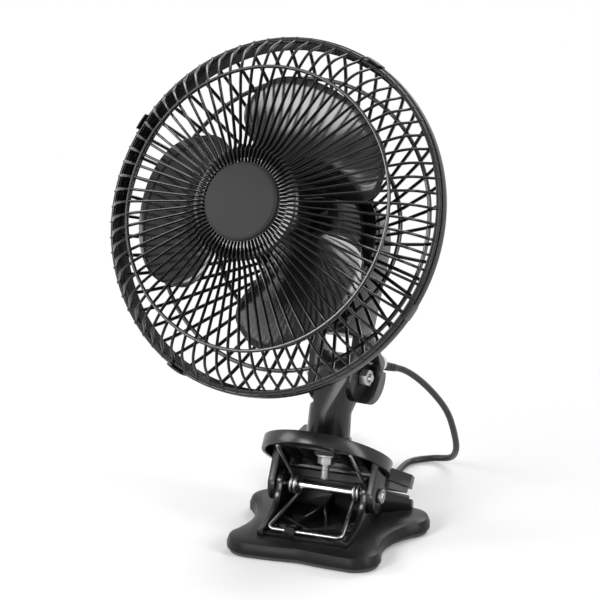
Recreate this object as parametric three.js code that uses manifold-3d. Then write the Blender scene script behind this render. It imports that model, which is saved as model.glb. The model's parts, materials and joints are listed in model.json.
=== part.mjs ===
// Clip fan: a 150 mm bladed head on a tilting, swivelling stem, carried by a sprung clip
// whose lower jaw is a four-lobed foot, so the fan both stands on a table and grips a shelf.
// Units are millimetres. +Z is up, the fan blows towards -Y, the cord leaves on the +X side.
// The origin is the middle of the foot's sole, on the table.

import * as THREE from 'three';
import { mergeVertices } from 'three/addons/utils/BufferGeometryUtils.js';
import Module from 'manifold-3d';

const wasm = await Module();
wasm.setup();

// ---------------------------------------------------------------- driving dimensions

const gap = 0.3;                 // clearance between pieces that touch
const deg = Math.PI / 180;

// foot
const footHeight = 9.6;          // top of the foot above the table
const soleThick = 2.2;           // soft sole under the foot
const soleInset = 1.4;           // the sole stops short of the foot's edge
const footRound = 4.2;           // rounding of the foot's upper edge
const frontLobe = { x: 30, y: -27.5, r: 14 };
const rearLobe = { x: 38, y: 27.5, r: 14 };
const footWaist = 34;            // half width between front and rear lobes
const footRearDip = 2.5;         // hollow of the rear edge
const footFrontDip = 2.4;        // and of the front edge

// clip
const axleY = 7;
const axleZ = 27;
const axleRadius = 2.2;
const cheekX = 23;               // inner face of the lower jaw's cheeks
const cheekThick = 3.4;
const earThick = 3.8;            // upper jaw's ears, outside the cheeks
const earRadius = 10;
const sideGap = 0.5;             // running gap between cheek and ear
const capThick = 2;              // push caps on the axle's ends
const cheekRadius = 8.6;         // lower jaw's cheeks round the axle
const toeY = -30;                // front end of the lower jaw
const floorThick = 1.6;          // lower jaw's floor, on the foot
const jawWall = 2.4;
const ribThick = 1.4;
const ribSpread = 13;            // half width of the rib lattice at the toe
const ribTurnY = -9;             // where the crossing ribs meet the cheeks
const jawRearY = 36;             // rear end of the lower jaw
const jawRearHalf = 40;          // half width of the jaws at the mouth
const jawFlareY = 24;            // where the jaw starts to widen
const jawSlope = 30 * deg;       // fall of the lower jaw's top towards the mouth
const mouthGap = 0.423;          // between the pads at the mouth, with the clip closed
const lowerPadThick = 1.6;
const upperPadThick = 2.6;       // at the mouth, thicker inwards
const padDraft = 1.5;
const mouthInset = 1.6;          // pads stop short of the jaws' edges

// upper jaw plate, drawn flat and then tilted about the axle
const plateTilt = 37 * deg;
const plateRadius = 36;
const plateCentreY = -10.5;      // from the axle, along the plate
const plateTop = 19;             // above the axle, square to the plate
const plateDepth = 7;            // rim
const plateWall = 2.2;
const plateRearY = 24.5;
const plateWaistY = 9;           // where the round plate widens into the mouth
const plateRibDepth = 3.4;
const plateRibHalf = 0.8;
const plateRibInner = 11;        // inner ribs, beside those that the spring pushes on
const plateCrossRibY = -29.2;

// spring
const wireDia = 1.9;
const coilExtraTurns = 2;        // full turns beside the part turn between the legs
const coilRadius = 4.7;          // to the middle of the wire
const coilClear = 0.85;          // from each coil to its cheek
const coilGap = 0.5;             // between turns
const loopBarY = -26.5;          // cross bar of the lower loop, over the jaw's floor
const loopInset = 0.2;           // lower loop's sides, from the coils' outer turns
const loopCorner = 3;
const legTipClear = 2.8;         // upper legs' ends, from the plate's wall
const loopRise = 1.9;            // cross bar's middle above the jaw's floor
const legRise = 0.9;             // the legs leave the cross bar's corners that much higher
const keeperX = [-11, -5.4];     // hook over the cross bar
const keeperWall = 2;

// stem
const swivelAlong = -16.0556;     // middle of the swivel face, in the plate's frame
const swivelRise = 6.5150;        // and above the plate
const stemLean = 14 * deg;
const stemLength = 35;           // swivel face to hinge
const stemRadius = 12;
const stemTopRadius = 11.6;      // at the shoulder, where the neck starts
const stemShoulder = 21.5;       // below the hinge
const barrelLeft = -5.8;         // barrel across the tilt axis
const barrelRight = 14.2;
const barrelRadius = 11.5;
const swivelBoltRadius = 2.1;
const swivelReach = 24;          // bolt below the swivel face
const bossRadius = 13;
const seatRadius = 8;            // nut seat under the plate
const seatDepth = 10;            // below the swivel face
const nutThick = 4;
const nutRadius = 4.7;           // across corners / 2
const washerThick = 1;
const washerRadius = 6;
const headSwivel = 7 * deg;      // the head as photographed, turned on its stem
const headPitch = 29 * deg;

// head, in a frame at the tilt hinge
const leftEar = { x0: -11, x1: -6.1, y: 5, z: -3, r: 13 };
const rightEar = { x0: 14.5, x1: 24.2, y: 1, z: 0, r: 14.2 };
const nutSeatX = 17.3;           // floor of the hollow round the tilt nut
const nutHollow = { y: -8.3, r: 15.5 };
const tiltNutThick = 4.5;
const tiltNutRadius = 4.9;       // across corners / 2
const boltProud = 1.5;           // bolt's end past the nut
const boltHeadThick = 3.4;
const bushingX = 18;
const bushingZ = 10.5;
const bushingNeck = 2.5;         // radius in its hole
const bushingRadius = 4.5;
const bushingSeatY = 10.6;       // flat cut in the ear's back
const bushingFloorY = 4.2;
const bushingEndY = 17.4;
const axisHeight = 67;           // fan axis above the hinge
const rimForward = 106;          // rim plane ahead of the hinge
const housingHalf = 28;
const housingBottom = 49;        // below the fan axis
const housingFront = 57;         // behind the rim plane
const housingRear = 91;
const housingWall = 2.4;
const housingCorner = 8;         // lower corners, seen from the front
const housingRound = 4;          // rear edges
const ventCount = 4;
const ventPitch = 7;
const ventHalf = { x: 15, z: 1.2 };
const forkReach = 24;            // depth of the fork's root, from the housing's back
const noseRadius = 29;
const noseFront = 19;            // motor cover's front, behind the rim plane
const flangeRadius = 36;         // motor cover's flange, behind the rear guard
const flangeThick = 2.4;
const coverWall = 2.2;
const coverSlots = 6;
const coverSlotWidth = 2.6;
const shaftRadius = 1.6;
const shaftFront = 14;           // ahead of the rim plane
const bearingRadius = 4.4;
const bearingLip = 2.4;          // wall of the bearing seats
const statorFront = 28;          // behind the rim plane
const statorRear = 46;
const statorBore = 13.4;
const rotorRadius = 12.9;
const windingDepth = 3.1;
const bracketBehind = 8;         // motor bracket, behind the housing's front edge

// switch on the housing's back
const switchHalf = 4;
const switchRise = 10;           // above the fan axis
const rockerRadius = 6;

// guards and blades, in a frame on the fan axis at the rim plane, +Y forward
const rimRadius = 98;
const rimWall = 2;               // rear guard's rim band
const rimHalfDepth = 4.2;
const rimSeam = 0.5;             // front edge of the band, ahead of the rim plane
const frontRingWall = 2.3;
const frontBars = 72;
const rearBars = 54;
const clipHalf = 3.6;            // half width of the rim clips
const clipThick = 1;
const barWidth = 1.5;
const rearBarWidth = 1.9;
const bladeTip = 75;
const bladeThick = 1.7;
const bladeHubRadius = 15;
const bladeHubWall = 2.2;
const bladeHubFront = 20;        // ahead of the rim plane
const bladeHubRear = -12;
const bladeAngle = 66 * deg;     // first blade, from +X, as photographed
const badgeRadius = 21.2;
const badgeStem = 13;            // radius of the hole in the front guard's middle
const guardFace = 42.6;          // front guard's middle, ahead of the rim plane

// cord and plug
const cordDia = 3.6;
const cordRadius = cordDia / 2;
const coilCentre = { x: -21, y: 73 };
const coilLoops = 9.5;
const coilLayers = 4;
const coilSteps = 16;            // per loop
const coilMeanRadius = 21;
const coilStep = cordDia + 0.5;
const cordFloor = cordRadius + 0.1;
const plugWidth = 24;
const plugHeight = 12;
const plugLength = 28;
const plugY = 98;                // cord end of the plug
const pinSpacing = 12.7;
const pinLength = 16;
const pinWidth = 6.3;
const pinThick = 1.5;

// ---------------------------------------------------------------- derived dimensions

// from the plate's frame to the world
const plateToWorld = (x, y, z) => new THREE.Vector3(x, y, z)
  .applyAxisAngle(new THREE.Vector3(1, 0, 0), -plateTilt)
  .add(new THREE.Vector3(0, axleY, axleZ));

const jawFloor = footHeight + gap;
const cheekOuter = cheekX + cheekThick;
const blockFront = axleY + earRadius + 1.2;
const earInner = cheekOuter + sideGap;
const earOuter = earInner + earThick;
const wireRadius = wireDia / 2;
const coilPitch = wireDia + coilGap;
const coilOuterX = cheekX - coilClear - wireRadius;    // upper leg's side of each coil
const loopHalf = coilOuterX - loopInset;
const plateRibX = [-coilOuterX, -plateRibInner, plateRibInner, coilOuterX];
const loopBarZ = jawFloor + floorThick + loopRise;
const legTipY = plateCentreY + legTipClear
  - Math.sqrt((plateRadius - plateWall) ** 2 - coilOuterX ** 2);
const swivel = plateToWorld(0, swivelAlong, plateTop + swivelRise);
const hingeY = swivel.y + stemLength * Math.sin(stemLean);
const hingeZ = swivel.z + stemLength * Math.cos(stemLean);
const mouthEdge = plateToWorld(0, plateRearY, plateTop - plateDepth - gap - upperPadThick);
const mouthTop = mouthEdge.z - mouthGap - lowerPadThick / Math.cos(jawSlope) - gap;
const boltBore = swivelBoltRadius + gap;
const housingBack = housingRear - rimForward;     // in the hinge's frame
const rimInner = rimRadius - rimWall;
const far = 60;                  // past every solid of its group, for cutting tools

// ---------------------------------------------------------------- finishes

const finish = (colour, roughness, metalness = 0) =>
  new THREE.MeshStandardMaterial({ color: colour, roughness, metalness });
const casingPlastic = finish(0x3c3d3f, 0.45);
const guardPlastic = finish(0x2c2d2f, 0.4);
const bladePlastic = finish(0x4a4b4d, 0.35);
const badgePlastic = finish(0x55565a, 0.5);
const padRubber = finish(0x8b8c8c, 0.85);
const soleRubber = finish(0x77787a, 0.9);
const brightSteel = finish(0xc9cbcd, 0.28, 1);
const darkSteel = finish(0x6f7275, 0.4, 1);
const copper = finish(0xb06a3c, 0.35, 1);
const brass = finish(0xb89b5e, 0.35, 1);
const bushingPlastic = finish(0xd4d4d2, 0.55);
const cordPlastic = finish(0x6a6b6d, 0.6);

// ---------------------------------------------------------------- solids

function toSolid(geometry) {
  const bare = geometry.clone();
  bare.deleteAttribute('normal');
  bare.deleteAttribute('uv');
  const merged = mergeVertices(bare, 1e-4);
  const corners = Array.from(merged.index.array);
  const triangles = [];
  for (let i = 0; i < corners.length; i += 3) {
    const [a, b, c] = corners.slice(i, i + 3);
    if (a !== b && b !== c && c !== a) triangles.push(a, b, c);
  }
  return new wasm.Manifold(new wasm.Mesh({
    numProp: 3,
    vertProperties: new Float32Array(merged.attributes.position.array),
    triVerts: new Uint32Array(triangles),
  }));
}

function toGeometry(solid) {
  const mesh = solid.getMesh();
  const geometry = new THREE.BufferGeometry();
  const corners = new Float32Array(mesh.vertProperties);
  geometry.setAttribute('position', new THREE.BufferAttribute(corners, 3));
  geometry.setIndex(new THREE.BufferAttribute(new Uint32Array(mesh.triVerts), 1));
  geometry.computeVertexNormals();
  return geometry;
}

const join = (first, ...others) => others.reduce((sum, g) => sum.add(toSolid(g)), toSolid(first));
const cut = (solid, ...others) => others.reduce((rest, g) => rest.subtract(toSolid(g)), solid);

function piece(parent, name, shape, material) {
  const geometry = toGeometry(shape instanceof THREE.BufferGeometry ? toSolid(shape) : shape);
  const mesh = new THREE.Mesh(geometry, material);
  mesh.name = name;
  parent.add(mesh);
  return mesh;
}

function groupAt(parent, x, y, z) {
  const group = new THREE.Group();
  group.position.set(x, y, z);
  parent.add(group);
  return group;
}

// box by its lowest and highest corners
function block(x0, y0, z0, x1, y1, z1) {
  return new THREE.BoxGeometry(x1 - x0, y1 - y0, z1 - z0)
    .translate((x0 + x1) / 2, (y0 + y1) / 2, (z0 + z1) / 2);
}

// cylinder along an axis, from one end to the other
function rod(axis, from, to, radius, sides = 24, radiusEnd = radius) {
  const geometry = new THREE.CylinderGeometry(radiusEnd, radius, to - from, sides);
  geometry.translate(0, (from + to) / 2, 0);
  if (axis === 'x') geometry.rotateZ(-Math.PI / 2);
  if (axis === 'z') geometry.rotateX(Math.PI / 2);
  return geometry;
}

// outline in the YZ plane, extruded along X
function sidePlate(shape, x0, x1, curveSegments = 10) {
  const options = { depth: x1 - x0, bevelEnabled: false, curveSegments };
  const geometry = new THREE.ExtrudeGeometry(shape, options);
  geometry.applyMatrix4(new THREE.Matrix4().set(0, 0, 1, x0, 1, 0, 0, 0, 0, 1, 0, 0, 0, 0, 0, 1));
  return geometry;
}

// outline in the XY plane, extruded up
function slab(shape, z0, z1, curveSegments = 10) {
  return new THREE.ExtrudeGeometry(shape, { depth: z1 - z0, bevelEnabled: false, curveSegments })
    .translate(0, 0, z0);
}

function polygon(points) {
  return new THREE.Shape(points.map(([x, y]) => new THREE.Vector2(x, y)));
}

// revolve a closed profile of [radius, height] about +Y
function revolve(profile, sides = 32) {
  const points = [...profile, profile[0]].map(([r, y]) => new THREE.Vector2(r, y));
  if (THREE.ShapeUtils.area(points) < 0) points.reverse();
  return new THREE.LatheGeometry(points, sides);
}

// ring about +Y, from one height to another
const ring = (inner, outer, y0, y1, sides = 32) =>
  revolve([[inner, y0], [outer, y0], [outer, y1], [inner, y1]], sides);

// round tube of any path: rings of points carried along it, ends capped
function wire(points, radius, sides) {
  const positions = [];
  const index = [];
  const frames = points.map((point, i) => {
    const before = points[Math.max(i - 1, 0)];
    const after = points[Math.min(i + 1, points.length - 1)];
    return after.clone().sub(before).normalize();
  });
  let side = new THREE.Vector3(0, 0, 1);
  if (Math.abs(frames[0].z) > 0.9) side.set(1, 0, 0);
  points.forEach((point, i) => {
    side = side.clone().addScaledVector(frames[i], -side.dot(frames[i])).normalize();
    const up = frames[i].clone().cross(side);
    for (let k = 0; k < sides; k += 1) {
      const a = (k / sides) * 2 * Math.PI;
      const p = point.clone()
        .addScaledVector(side, radius * Math.cos(a))
        .addScaledVector(up, radius * Math.sin(a));
      positions.push(p.x, p.y, p.z);
    }
  });
  for (let i = 0; i < points.length - 1; i += 1) {
    for (let k = 0; k < sides; k += 1) {
      const a = i * sides + k;
      const b = i * sides + ((k + 1) % sides);
      index.push(a, b, b + sides, a, b + sides, a + sides);
    }
  }
  const last = (points.length - 1) * sides;
  for (let k = 1; k < sides - 1; k += 1) {
    index.push(0, k + 1, k);
    index.push(last, last + k, last + k + 1);
  }
  const geometry = new THREE.BufferGeometry();
  geometry.setAttribute('position', new THREE.Float32BufferAttribute(positions, 3));
  geometry.setIndex(index);
  geometry.computeVertexNormals();
  return geometry;
}

// least distance between two stretches of a path that are further apart along it than `along`
function leastSelfGap(points, radius, along) {
  const run = [0];
  for (let i = 1; i < points.length; i += 1) run.push(run[i - 1] + points[i].distanceTo(points[i - 1]));
  let least = Infinity;
  const fine = [];
  for (let i = 0; i < points.length - 1; i += 1) {
    for (let k = 0; k < 4; k += 1) {
      fine.push([points[i].clone().lerp(points[i + 1], k / 4), run[i] + (run[i + 1] - run[i]) * k / 4]);
    }
  }
  fine.forEach(([p, s], i) => {
    for (let j = i + 1; j < fine.length; j += 1) {
      if (fine[j][1] - s > along) least = Math.min(least, p.distanceTo(fine[j][0]) - 2 * radius);
    }
  });
  return least;
}

// ---------------------------------------------------------------- foot and lower jaw

// four round lobes joined by hollow curves; `inset` shrinks the whole outline
function footOutline(inset) {
  const f = { ...frontLobe, r: frontLobe.r - inset };
  const b = { ...rearLobe, r: rearLobe.r - inset };
  const waist = footWaist - inset;
  const shape = new THREE.Shape();
  const at = (lobe, side, a) => [side * lobe.x + lobe.r * Math.cos(a), lobe.y + lobe.r * Math.sin(a)];
  const frontDip = f.y - f.r + footFrontDip;
  const rearDip = b.y + b.r - footRearDip;
  shape.moveTo(0, frontDip);
  const [fx, fy] = at(f, 1, -100 * deg);
  shape.quadraticCurveTo(fx - 12, fy, fx, fy);
  shape.absarc(f.x, f.y, f.r, -100 * deg, 30 * deg);
  const [bx, by] = at(b, 1, -55 * deg);
  shape.quadraticCurveTo(waist, (f.y + b.y) / 2, bx, by);
  shape.absarc(b.x, b.y, b.r, -55 * deg, 110 * deg);
  const [cx, cy] = at(b, 1, 110 * deg);
  shape.quadraticCurveTo(cx - 14, rearDip, 0, rearDip);
  shape.quadraticCurveTo(-cx + 14, rearDip, -cx, cy);
  shape.absarc(-b.x, b.y, b.r, 70 * deg, 235 * deg);
  const [gx, gy] = at(f, -1, 150 * deg);
  shape.quadraticCurveTo(-waist, (f.y + b.y) / 2, gx, gy);
  shape.absarc(-f.x, f.y, f.r, 150 * deg, 280 * deg);
  shape.quadraticCurveTo(-fx + 12, fy, 0, frontDip);
  return shape;
}

// height of the lower jaw's sloping top, under the edge of the upper pad
const jawTopAt = (y) => mouthTop + (mouthEdge.y - y) * Math.tan(jawSlope);

function buildFoot(parent) {
  const body = new THREE.ExtrudeGeometry(footOutline(footRound), {
    depth: footHeight - soleThick - gap - footRound, bevelEnabled: true, bevelThickness: footRound,
    bevelSize: footRound, bevelSegments: 2, curveSegments: 6,
  }).translate(0, 0, soleThick + gap);
  const foot = cut(toSolid(body), block(-2 * far, -2 * far, -far, 2 * far, 2 * far, soleThick + gap));
  piece(parent, 'foot', foot, casingPlastic);
  piece(parent, 'foot_sole', slab(footOutline(soleInset), 0, soleThick, 6), soleRubber);
}

// plan of the jaw's rear block, as wide as the cheeks and flaring to the mouth
function jawPlan(inset, rearInset) {
  const mouth = jawRearHalf - inset;
  const narrow = cheekOuter - inset;
  return polygon([
    [-narrow, blockFront + inset], [narrow, blockFront + inset], [narrow, jawFlareY],
    [mouth, jawRearY - 3], [mouth, jawRearY - rearInset],
    [-mouth, jawRearY - rearInset], [-mouth, jawRearY - 3], [-narrow, jawFlareY],
  ]);
}

// layer lying on the jaw's sloping top, between two heights above it
function jawLayer(plan, low, high) {
  const y0 = blockFront - 2;
  const y1 = jawRearY + 2;
  const side = polygon([
    [y0, jawTopAt(y0) + low], [y1, jawTopAt(y1) + low],
    [y1, jawTopAt(y1) + high], [y0, jawTopAt(y0) + high],
  ]);
  return toSolid(slab(plan, 0, far)).intersect(toSolid(sidePlate(side, -far, far)));
}

// cheek: a disc round the axle, running down and forward to a low toe on the foot
function cheekShape() {
  const shape = new THREE.Shape();
  shape.moveTo(toeY, jawFloor);
  shape.lineTo(blockFront + 2, jawFloor);
  shape.lineTo(blockFront + 2, jawTopAt(blockFront + 2) - 2.8);
  shape.lineTo(axleY + cheekRadius, axleZ);
  shape.absarc(axleY, axleZ, cheekRadius, 0, 165 * deg);
  shape.quadraticCurveTo(-4, 13.5, toeY, jawFloor + 3);
  return shape;
}

// rear block under the sloping top, hollow from below
function jawBlock(inset, low, high) {
  const y0 = blockFront - 1;
  const y1 = jawRearY + 1;
  const side = polygon([[y0, low], [y1, low], [y1, jawTopAt(y1) - high], [y0, jawTopAt(y0) - high]]);
  return toSolid(slab(jawPlan(inset, inset), -1, far)).intersect(toSolid(sidePlate(side, -far, far)));
}

// lattice of ribs, rising from the front edge to the wall behind the axle
function jawRibs(reach, loopEdgeY) {
  const ribTop = axleZ - cheekRadius + 0.6;
  const gusset = polygon([
    [blockFront + 1, jawFloor], [blockFront + 1, ribTop], [axleY - 3, ribTop],
    [loopEdgeY, jawFloor + floorThick], [loopEdgeY, jawFloor],
  ]);
  const within = toSolid(sidePlate(gusset, -reach, reach));
  const apex = [0, axleY - 2];
  const toe = toeY + 2;
  const runs = [
    [apex, [-ribSpread, toe]], [apex, [ribSpread, toe]], [apex, [0, blockFront + 1]],
    [[-ribSpread, toe], [cheekX, ribTurnY]], [[ribSpread, toe], [-cheekX, ribTurnY]],
  ];
  return runs.map(([[ax, ay], [bx, by]]) => {
    const rib = new THREE.BoxGeometry(ribThick, Math.hypot(bx - ax, by - ay), 2 * far)
      .rotateZ(Math.atan2(by - ay, bx - ax) - Math.PI / 2)
      .translate((ax + bx) / 2, (ay + by) / 2, 0);
    return toSolid(rib).intersect(within);
  });
}

function buildLowerJaw(parent) {
  let jaw = jawBlock(0, jawFloor, 0).subtract(jawBlock(jawWall, 0, jawWall));
  for (const side of [-1, 1]) {
    const [x0, x1] = side > 0 ? [cheekX, cheekOuter] : [-cheekOuter, -cheekX];
    jaw = jaw.add(toSolid(sidePlate(cheekShape(), x0, x1)));
  }
  const reach = cheekX + 1;
  const loopEdgeY = toeY + 1.6;
  const floor = block(-reach, loopEdgeY, jawFloor, reach, blockFront + 1, jawFloor + floorThick);
  jaw = jaw.add(toSolid(floor));
  for (const rib of jawRibs(reach, loopEdgeY)) jaw = jaw.add(rib);
  const [keeperLeft, keeperRight] = keeperX;
  const keeperHalf = wireRadius + gap + 1.15;
  const keeperTop = loopBarZ + wireRadius + keeperWall;
  jaw = jaw.add(toSolid(block(
    keeperLeft, loopBarY - keeperHalf, jawFloor, keeperRight, loopBarY + keeperHalf, keeperTop,
  )));
  jaw = cut(
    jaw,
    rod('x', keeperLeft - 7, 1, wireRadius + gap, 12).translate(0, loopBarY, loopBarZ),
    rod('x', -far, far, axleRadius + gap, 20).translate(0, axleY, axleZ),
  );
  piece(parent, 'lower_jaw', jaw, guardPlastic);
  const pad = jawLayer(jawPlan(mouthInset, mouthInset), gap, gap + lowerPadThick / Math.cos(jawSlope));
  piece(parent, 'lower_grip_pad', pad, padRubber);
}

function buildAxle(parent) {
  const end = cheekOuter + sideGap + earThick + gap;
  const axle = rod('x', -end - capThick, end + capThick, axleRadius, 20);
  piece(parent, 'clip_axle', axle.translate(0, axleY, axleZ), brightSteel);
  for (const [name, side] of [['axle_cap_left', -1], ['axle_cap_right', 1]]) {
    const inner = side * end;
    const outer = side * (end + capThick);
    const cap = cut(
      toSolid(rod('x', Math.min(inner, outer), Math.max(inner, outer), axleRadius * 1.9, 16)),
      rod('x', -far, far, axleRadius + gap, 20),
    );
    piece(parent, name, toGeometry(cap).translate(0, axleY, axleZ), brightSteel);
  }
}

// ---------------------------------------------------------------- spring

// one side of the spring: upper leg, coil round the axle, lower leg to the cross bar's corner
function springSide(side) {
  const tip = plateToWorld(0, legTipY, plateTop - plateWall - plateRibDepth - gap - wireRadius);
  const up = new THREE.Vector2(tip.y - axleY, tip.z - axleZ);
  const down = new THREE.Vector2(loopBarY + loopCorner - axleY, loopBarZ + legRise - axleZ);
  const leave = up.angle() - Math.acos(coilRadius / up.length());
  const arrive = down.angle() + Math.acos(coilRadius / down.length());
  const sweep = ((leave - arrive + 6 * Math.PI) % (2 * Math.PI)) + coilExtraTurns * 2 * Math.PI;
  const steps = Math.round(sweep / (2 * Math.PI) * 8);
  const pitchRun = coilPitch * sweep / (2 * Math.PI);
  const points = [];
  for (let i = 0; i <= steps; i += 1) {
    const a = arrive + sweep * i / steps;
    const x = coilOuterX - pitchRun * (1 - i / steps);
    const y = axleY + coilRadius * Math.cos(a);
    points.push(new THREE.Vector3(side * x, y, axleZ + coilRadius * Math.sin(a)));
  }
  points.push(new THREE.Vector3(side * coilOuterX, tip.y, tip.z));
  return points;
}

function buildSpring(parent) {
  const corner = (side, along) => {
    const a = along * Math.PI / 2;
    return new THREE.Vector3(
      side * (loopHalf - loopCorner + loopCorner * Math.cos(a)),
      loopBarY + loopCorner - loopCorner * Math.sin(a),
      loopBarZ + legRise * (1 - Math.sin(a)),
    );
  };
  const bend = [0, 0.5, 1];
  const points = [
    ...springSide(-1).reverse(),
    ...bend.map((t) => corner(-1, t)),
    ...bend.map((t) => corner(1, 1 - t)),
    ...springSide(1),
  ];
  const least = leastSelfGap(points, wireRadius, 2 * Math.PI * coilRadius * 0.6);
  console.log(`clip_spring: least gap to itself ${least.toFixed(2)} mm`);
  piece(parent, 'clip_spring', wire(points, wireRadius, 5), brightSteel);
}

// ---------------------------------------------------------------- upper jaw

function plateOutline(inset) {
  const radius = plateRadius - inset;
  const turn = Math.asin((plateWaistY - plateCentreY) / plateRadius);
  const mouth = jawRearHalf - inset;
  const shape = new THREE.Shape();
  shape.moveTo(radius * Math.cos(turn), plateCentreY + radius * Math.sin(turn));
  shape.absarc(0, plateCentreY, radius, turn, Math.PI - turn, true);
  shape.lineTo(-mouth, plateRearY - 5);
  shape.lineTo(-mouth, plateRearY - inset);
  shape.lineTo(mouth, plateRearY - inset);
  shape.lineTo(mouth, plateRearY - 5);
  return shape;
}

function earShape() {
  const shape = new THREE.Shape();
  shape.absarc(0, 0, earRadius, 0, -170 * deg, true);
  shape.lineTo(-12, plateTop - 1);
  shape.lineTo(8, plateTop - 1);
  return shape;
}

// from the stem's frame to the upper jaw's
function stemToPlate() {
  const stem = new THREE.Matrix4().makeRotationX(-stemLean).setPosition(0, hingeY, hingeZ);
  const plate = new THREE.Matrix4().makeRotationX(-plateTilt).setPosition(0, axleY, axleZ);
  return plate.invert().multiply(stem);
}

function buildUpperJaw(parent) {
  const jawGroup = groupAt(parent, 0, axleY, axleZ);
  jawGroup.rotation.x = -plateTilt;
  const bottom = plateTop - plateDepth;
  const solidFrom = plateWaistY - 1;
  const shell = toSolid(slab(plateOutline(0), bottom, plateTop, 14));
  const skin = plateTop - plateWall;
  const pocket = toSolid(slab(plateOutline(plateWall), bottom - 1, skin, 14))
    .intersect(toSolid(block(-far, -far, -far, far, solidFrom, far)));
  let jaw = shell.subtract(pocket);
  const inside = toSolid(slab(plateOutline(1), skin - plateRibDepth, skin + 1, 14));
  const ribs = plateRibX.map((x) => block(x - plateRibHalf, -far, 0, x + plateRibHalf, solidFrom, far));
  ribs.push(block(-far, plateCrossRibY - plateRibHalf, 0, far, plateCrossRibY + plateRibHalf, far));
  for (const rib of ribs) jaw = jaw.add(toSolid(rib).intersect(inside));
  for (const x of [-earOuter, earInner]) {
    jaw = jaw.add(toSolid(sidePlate(earShape(), x, x + earThick)));
  }
  // turntable boss on the plate and the nut's seat under it, both square to the stem
  const place = stemToPlate();
  const face = -stemLength - gap;
  const seatEnd = -stemLength - seatDepth;
  const boss = toSolid(rod('z', face - 24, face, bossRadius, 24).applyMatrix4(place))
    .intersect(toSolid(block(-far, -far, skin + 0.6, far, far, far)));
  const seat = rod('z', seatEnd, face - 4, seatRadius, 16).applyMatrix4(place);
  jaw = cut(
    jaw.add(boss).add(toSolid(seat)),
    rod('z', -1.5 * far, seatEnd, washerRadius + 0.6, 16).applyMatrix4(place),
    rod('z', -1.5 * far, 0, boltBore, 12).applyMatrix4(place),
    rod('x', -far, far, axleRadius + gap, 20),
  );
  piece(jawGroup, 'upper_jaw', jaw, casingPlastic);

  // pad under the plate at the mouth, thicker towards the axle
  const padTop = bottom - gap;
  const padFront = solidFrom + 3;
  const padRear = plateRearY - mouthInset;
  const padSide = polygon([
    [padFront, padTop], [padRear, padTop],
    [padRear, padTop - upperPadThick], [padFront, padTop - upperPadThick - padDraft],
  ]);
  const pad = toSolid(sidePlate(padSide, -far, far))
    .intersect(toSolid(slab(plateOutline(mouthInset), 0, far)));
  piece(jawGroup, 'upper_grip_pad', pad, padRubber);
}

// ---------------------------------------------------------------- stem

function hexNut(z0, z1, across, bore) {
  return cut(toSolid(rod('z', z0, z1, across, 6)), rod('z', z0 - 1, z1 + 1, bore, 20));
}

function buildStem(parent) {
  const stem = groupAt(parent, 0, hingeY, hingeZ);
  stem.rotation.set(-stemLean, 0, -headSwivel);
  const shoulder = rod('z', -stemShoulder - 0.1, -stemShoulder, stemTopRadius, 28);
  const barrel = rod('x', barrelLeft, barrelRight, barrelRadius, 28);
  const neck = wasm.Manifold.hull([toSolid(shoulder), toSolid(barrel)]);
  const post = rod('z', -stemLength, -stemShoulder, stemRadius, 28, stemTopRadius);
  const earSweep = Math.hypot(leftEar.y, leftEar.z) + leftEar.r + gap;
  const boltTop = -stemShoulder - 4;
  const bored = cut(
    neck.add(toSolid(post)),
    rod('z', -stemLength - 1, boltTop, boltBore, 12),
    rod('x', -far, far, boltBore, 12),
    rod('x', -far, barrelLeft, earSweep, 40),
  );
  piece(stem, 'stem', bored, casingPlastic);
  const bolt = rod('z', -stemLength - swivelReach, boltTop - gap, swivelBoltRadius, 20);
  piece(stem, 'swivel_bolt', bolt, brightSteel);
  const under = -stemLength - seatDepth - gap;
  const washer = ring(boltBore, washerRadius, under - washerThick, under, 24).rotateX(Math.PI / 2);
  piece(stem, 'swivel_washer', washer, brightSteel);
  const nutTop = under - washerThick - gap;
  piece(stem, 'swivel_nut', hexNut(nutTop - nutThick, nutTop, nutRadius, boltBore), brightSteel);
  return stem;
}

// ---------------------------------------------------------------- motor housing

// from a distance behind the rim plane to Y in the hinge's frame
const housingY = (behind) => behind - rimForward;

// tombstone outline in XZ round the fan axis: round top, square foot with rounded corners
function tombstone(inset) {
  const half = housingHalf - inset;
  const foot = axisHeight - housingBottom + inset;
  const corner = housingCorner - inset;
  const shape = new THREE.Shape();
  shape.moveTo(half, axisHeight);
  shape.absarc(0, axisHeight, half, 0, Math.PI);
  shape.lineTo(-half, foot + corner);
  shape.absarc(corner - half, foot + corner, corner, Math.PI, 1.5 * Math.PI);
  shape.lineTo(half - corner, foot);
  shape.absarc(half - corner, foot + corner, corner, -0.5 * Math.PI, 0);
  return shape;
}

// XZ outline extruded from one distance behind the rim to a further one
function depthSlab(shape, near, far, extra = {}) {
  const geometry = new THREE.ExtrudeGeometry(shape, {
    depth: far - near, bevelEnabled: false, curveSegments: 8, ...extra,
  });
  // the outline's y becomes z and the extrusion runs to +Y, which turns the faces over
  const turn = new THREE.Matrix4().set(1, 0, 0, 0, 0, 0, 1, housingY(near), 0, 1, 0, 0, 0, 0, 0, 1);
  return flipped(geometry.applyMatrix4(turn));
}

// the same solid with every face turned over
function flipped(geometry) {
  const p = geometry.attributes.position.array;
  for (let i = 0; i < p.length; i += 9) {
    for (let k = 0; k < 3; k += 1) [p[i + 3 + k], p[i + 6 + k]] = [p[i + 6 + k], p[i + 3 + k]];
  }
  return geometry;
}

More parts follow.
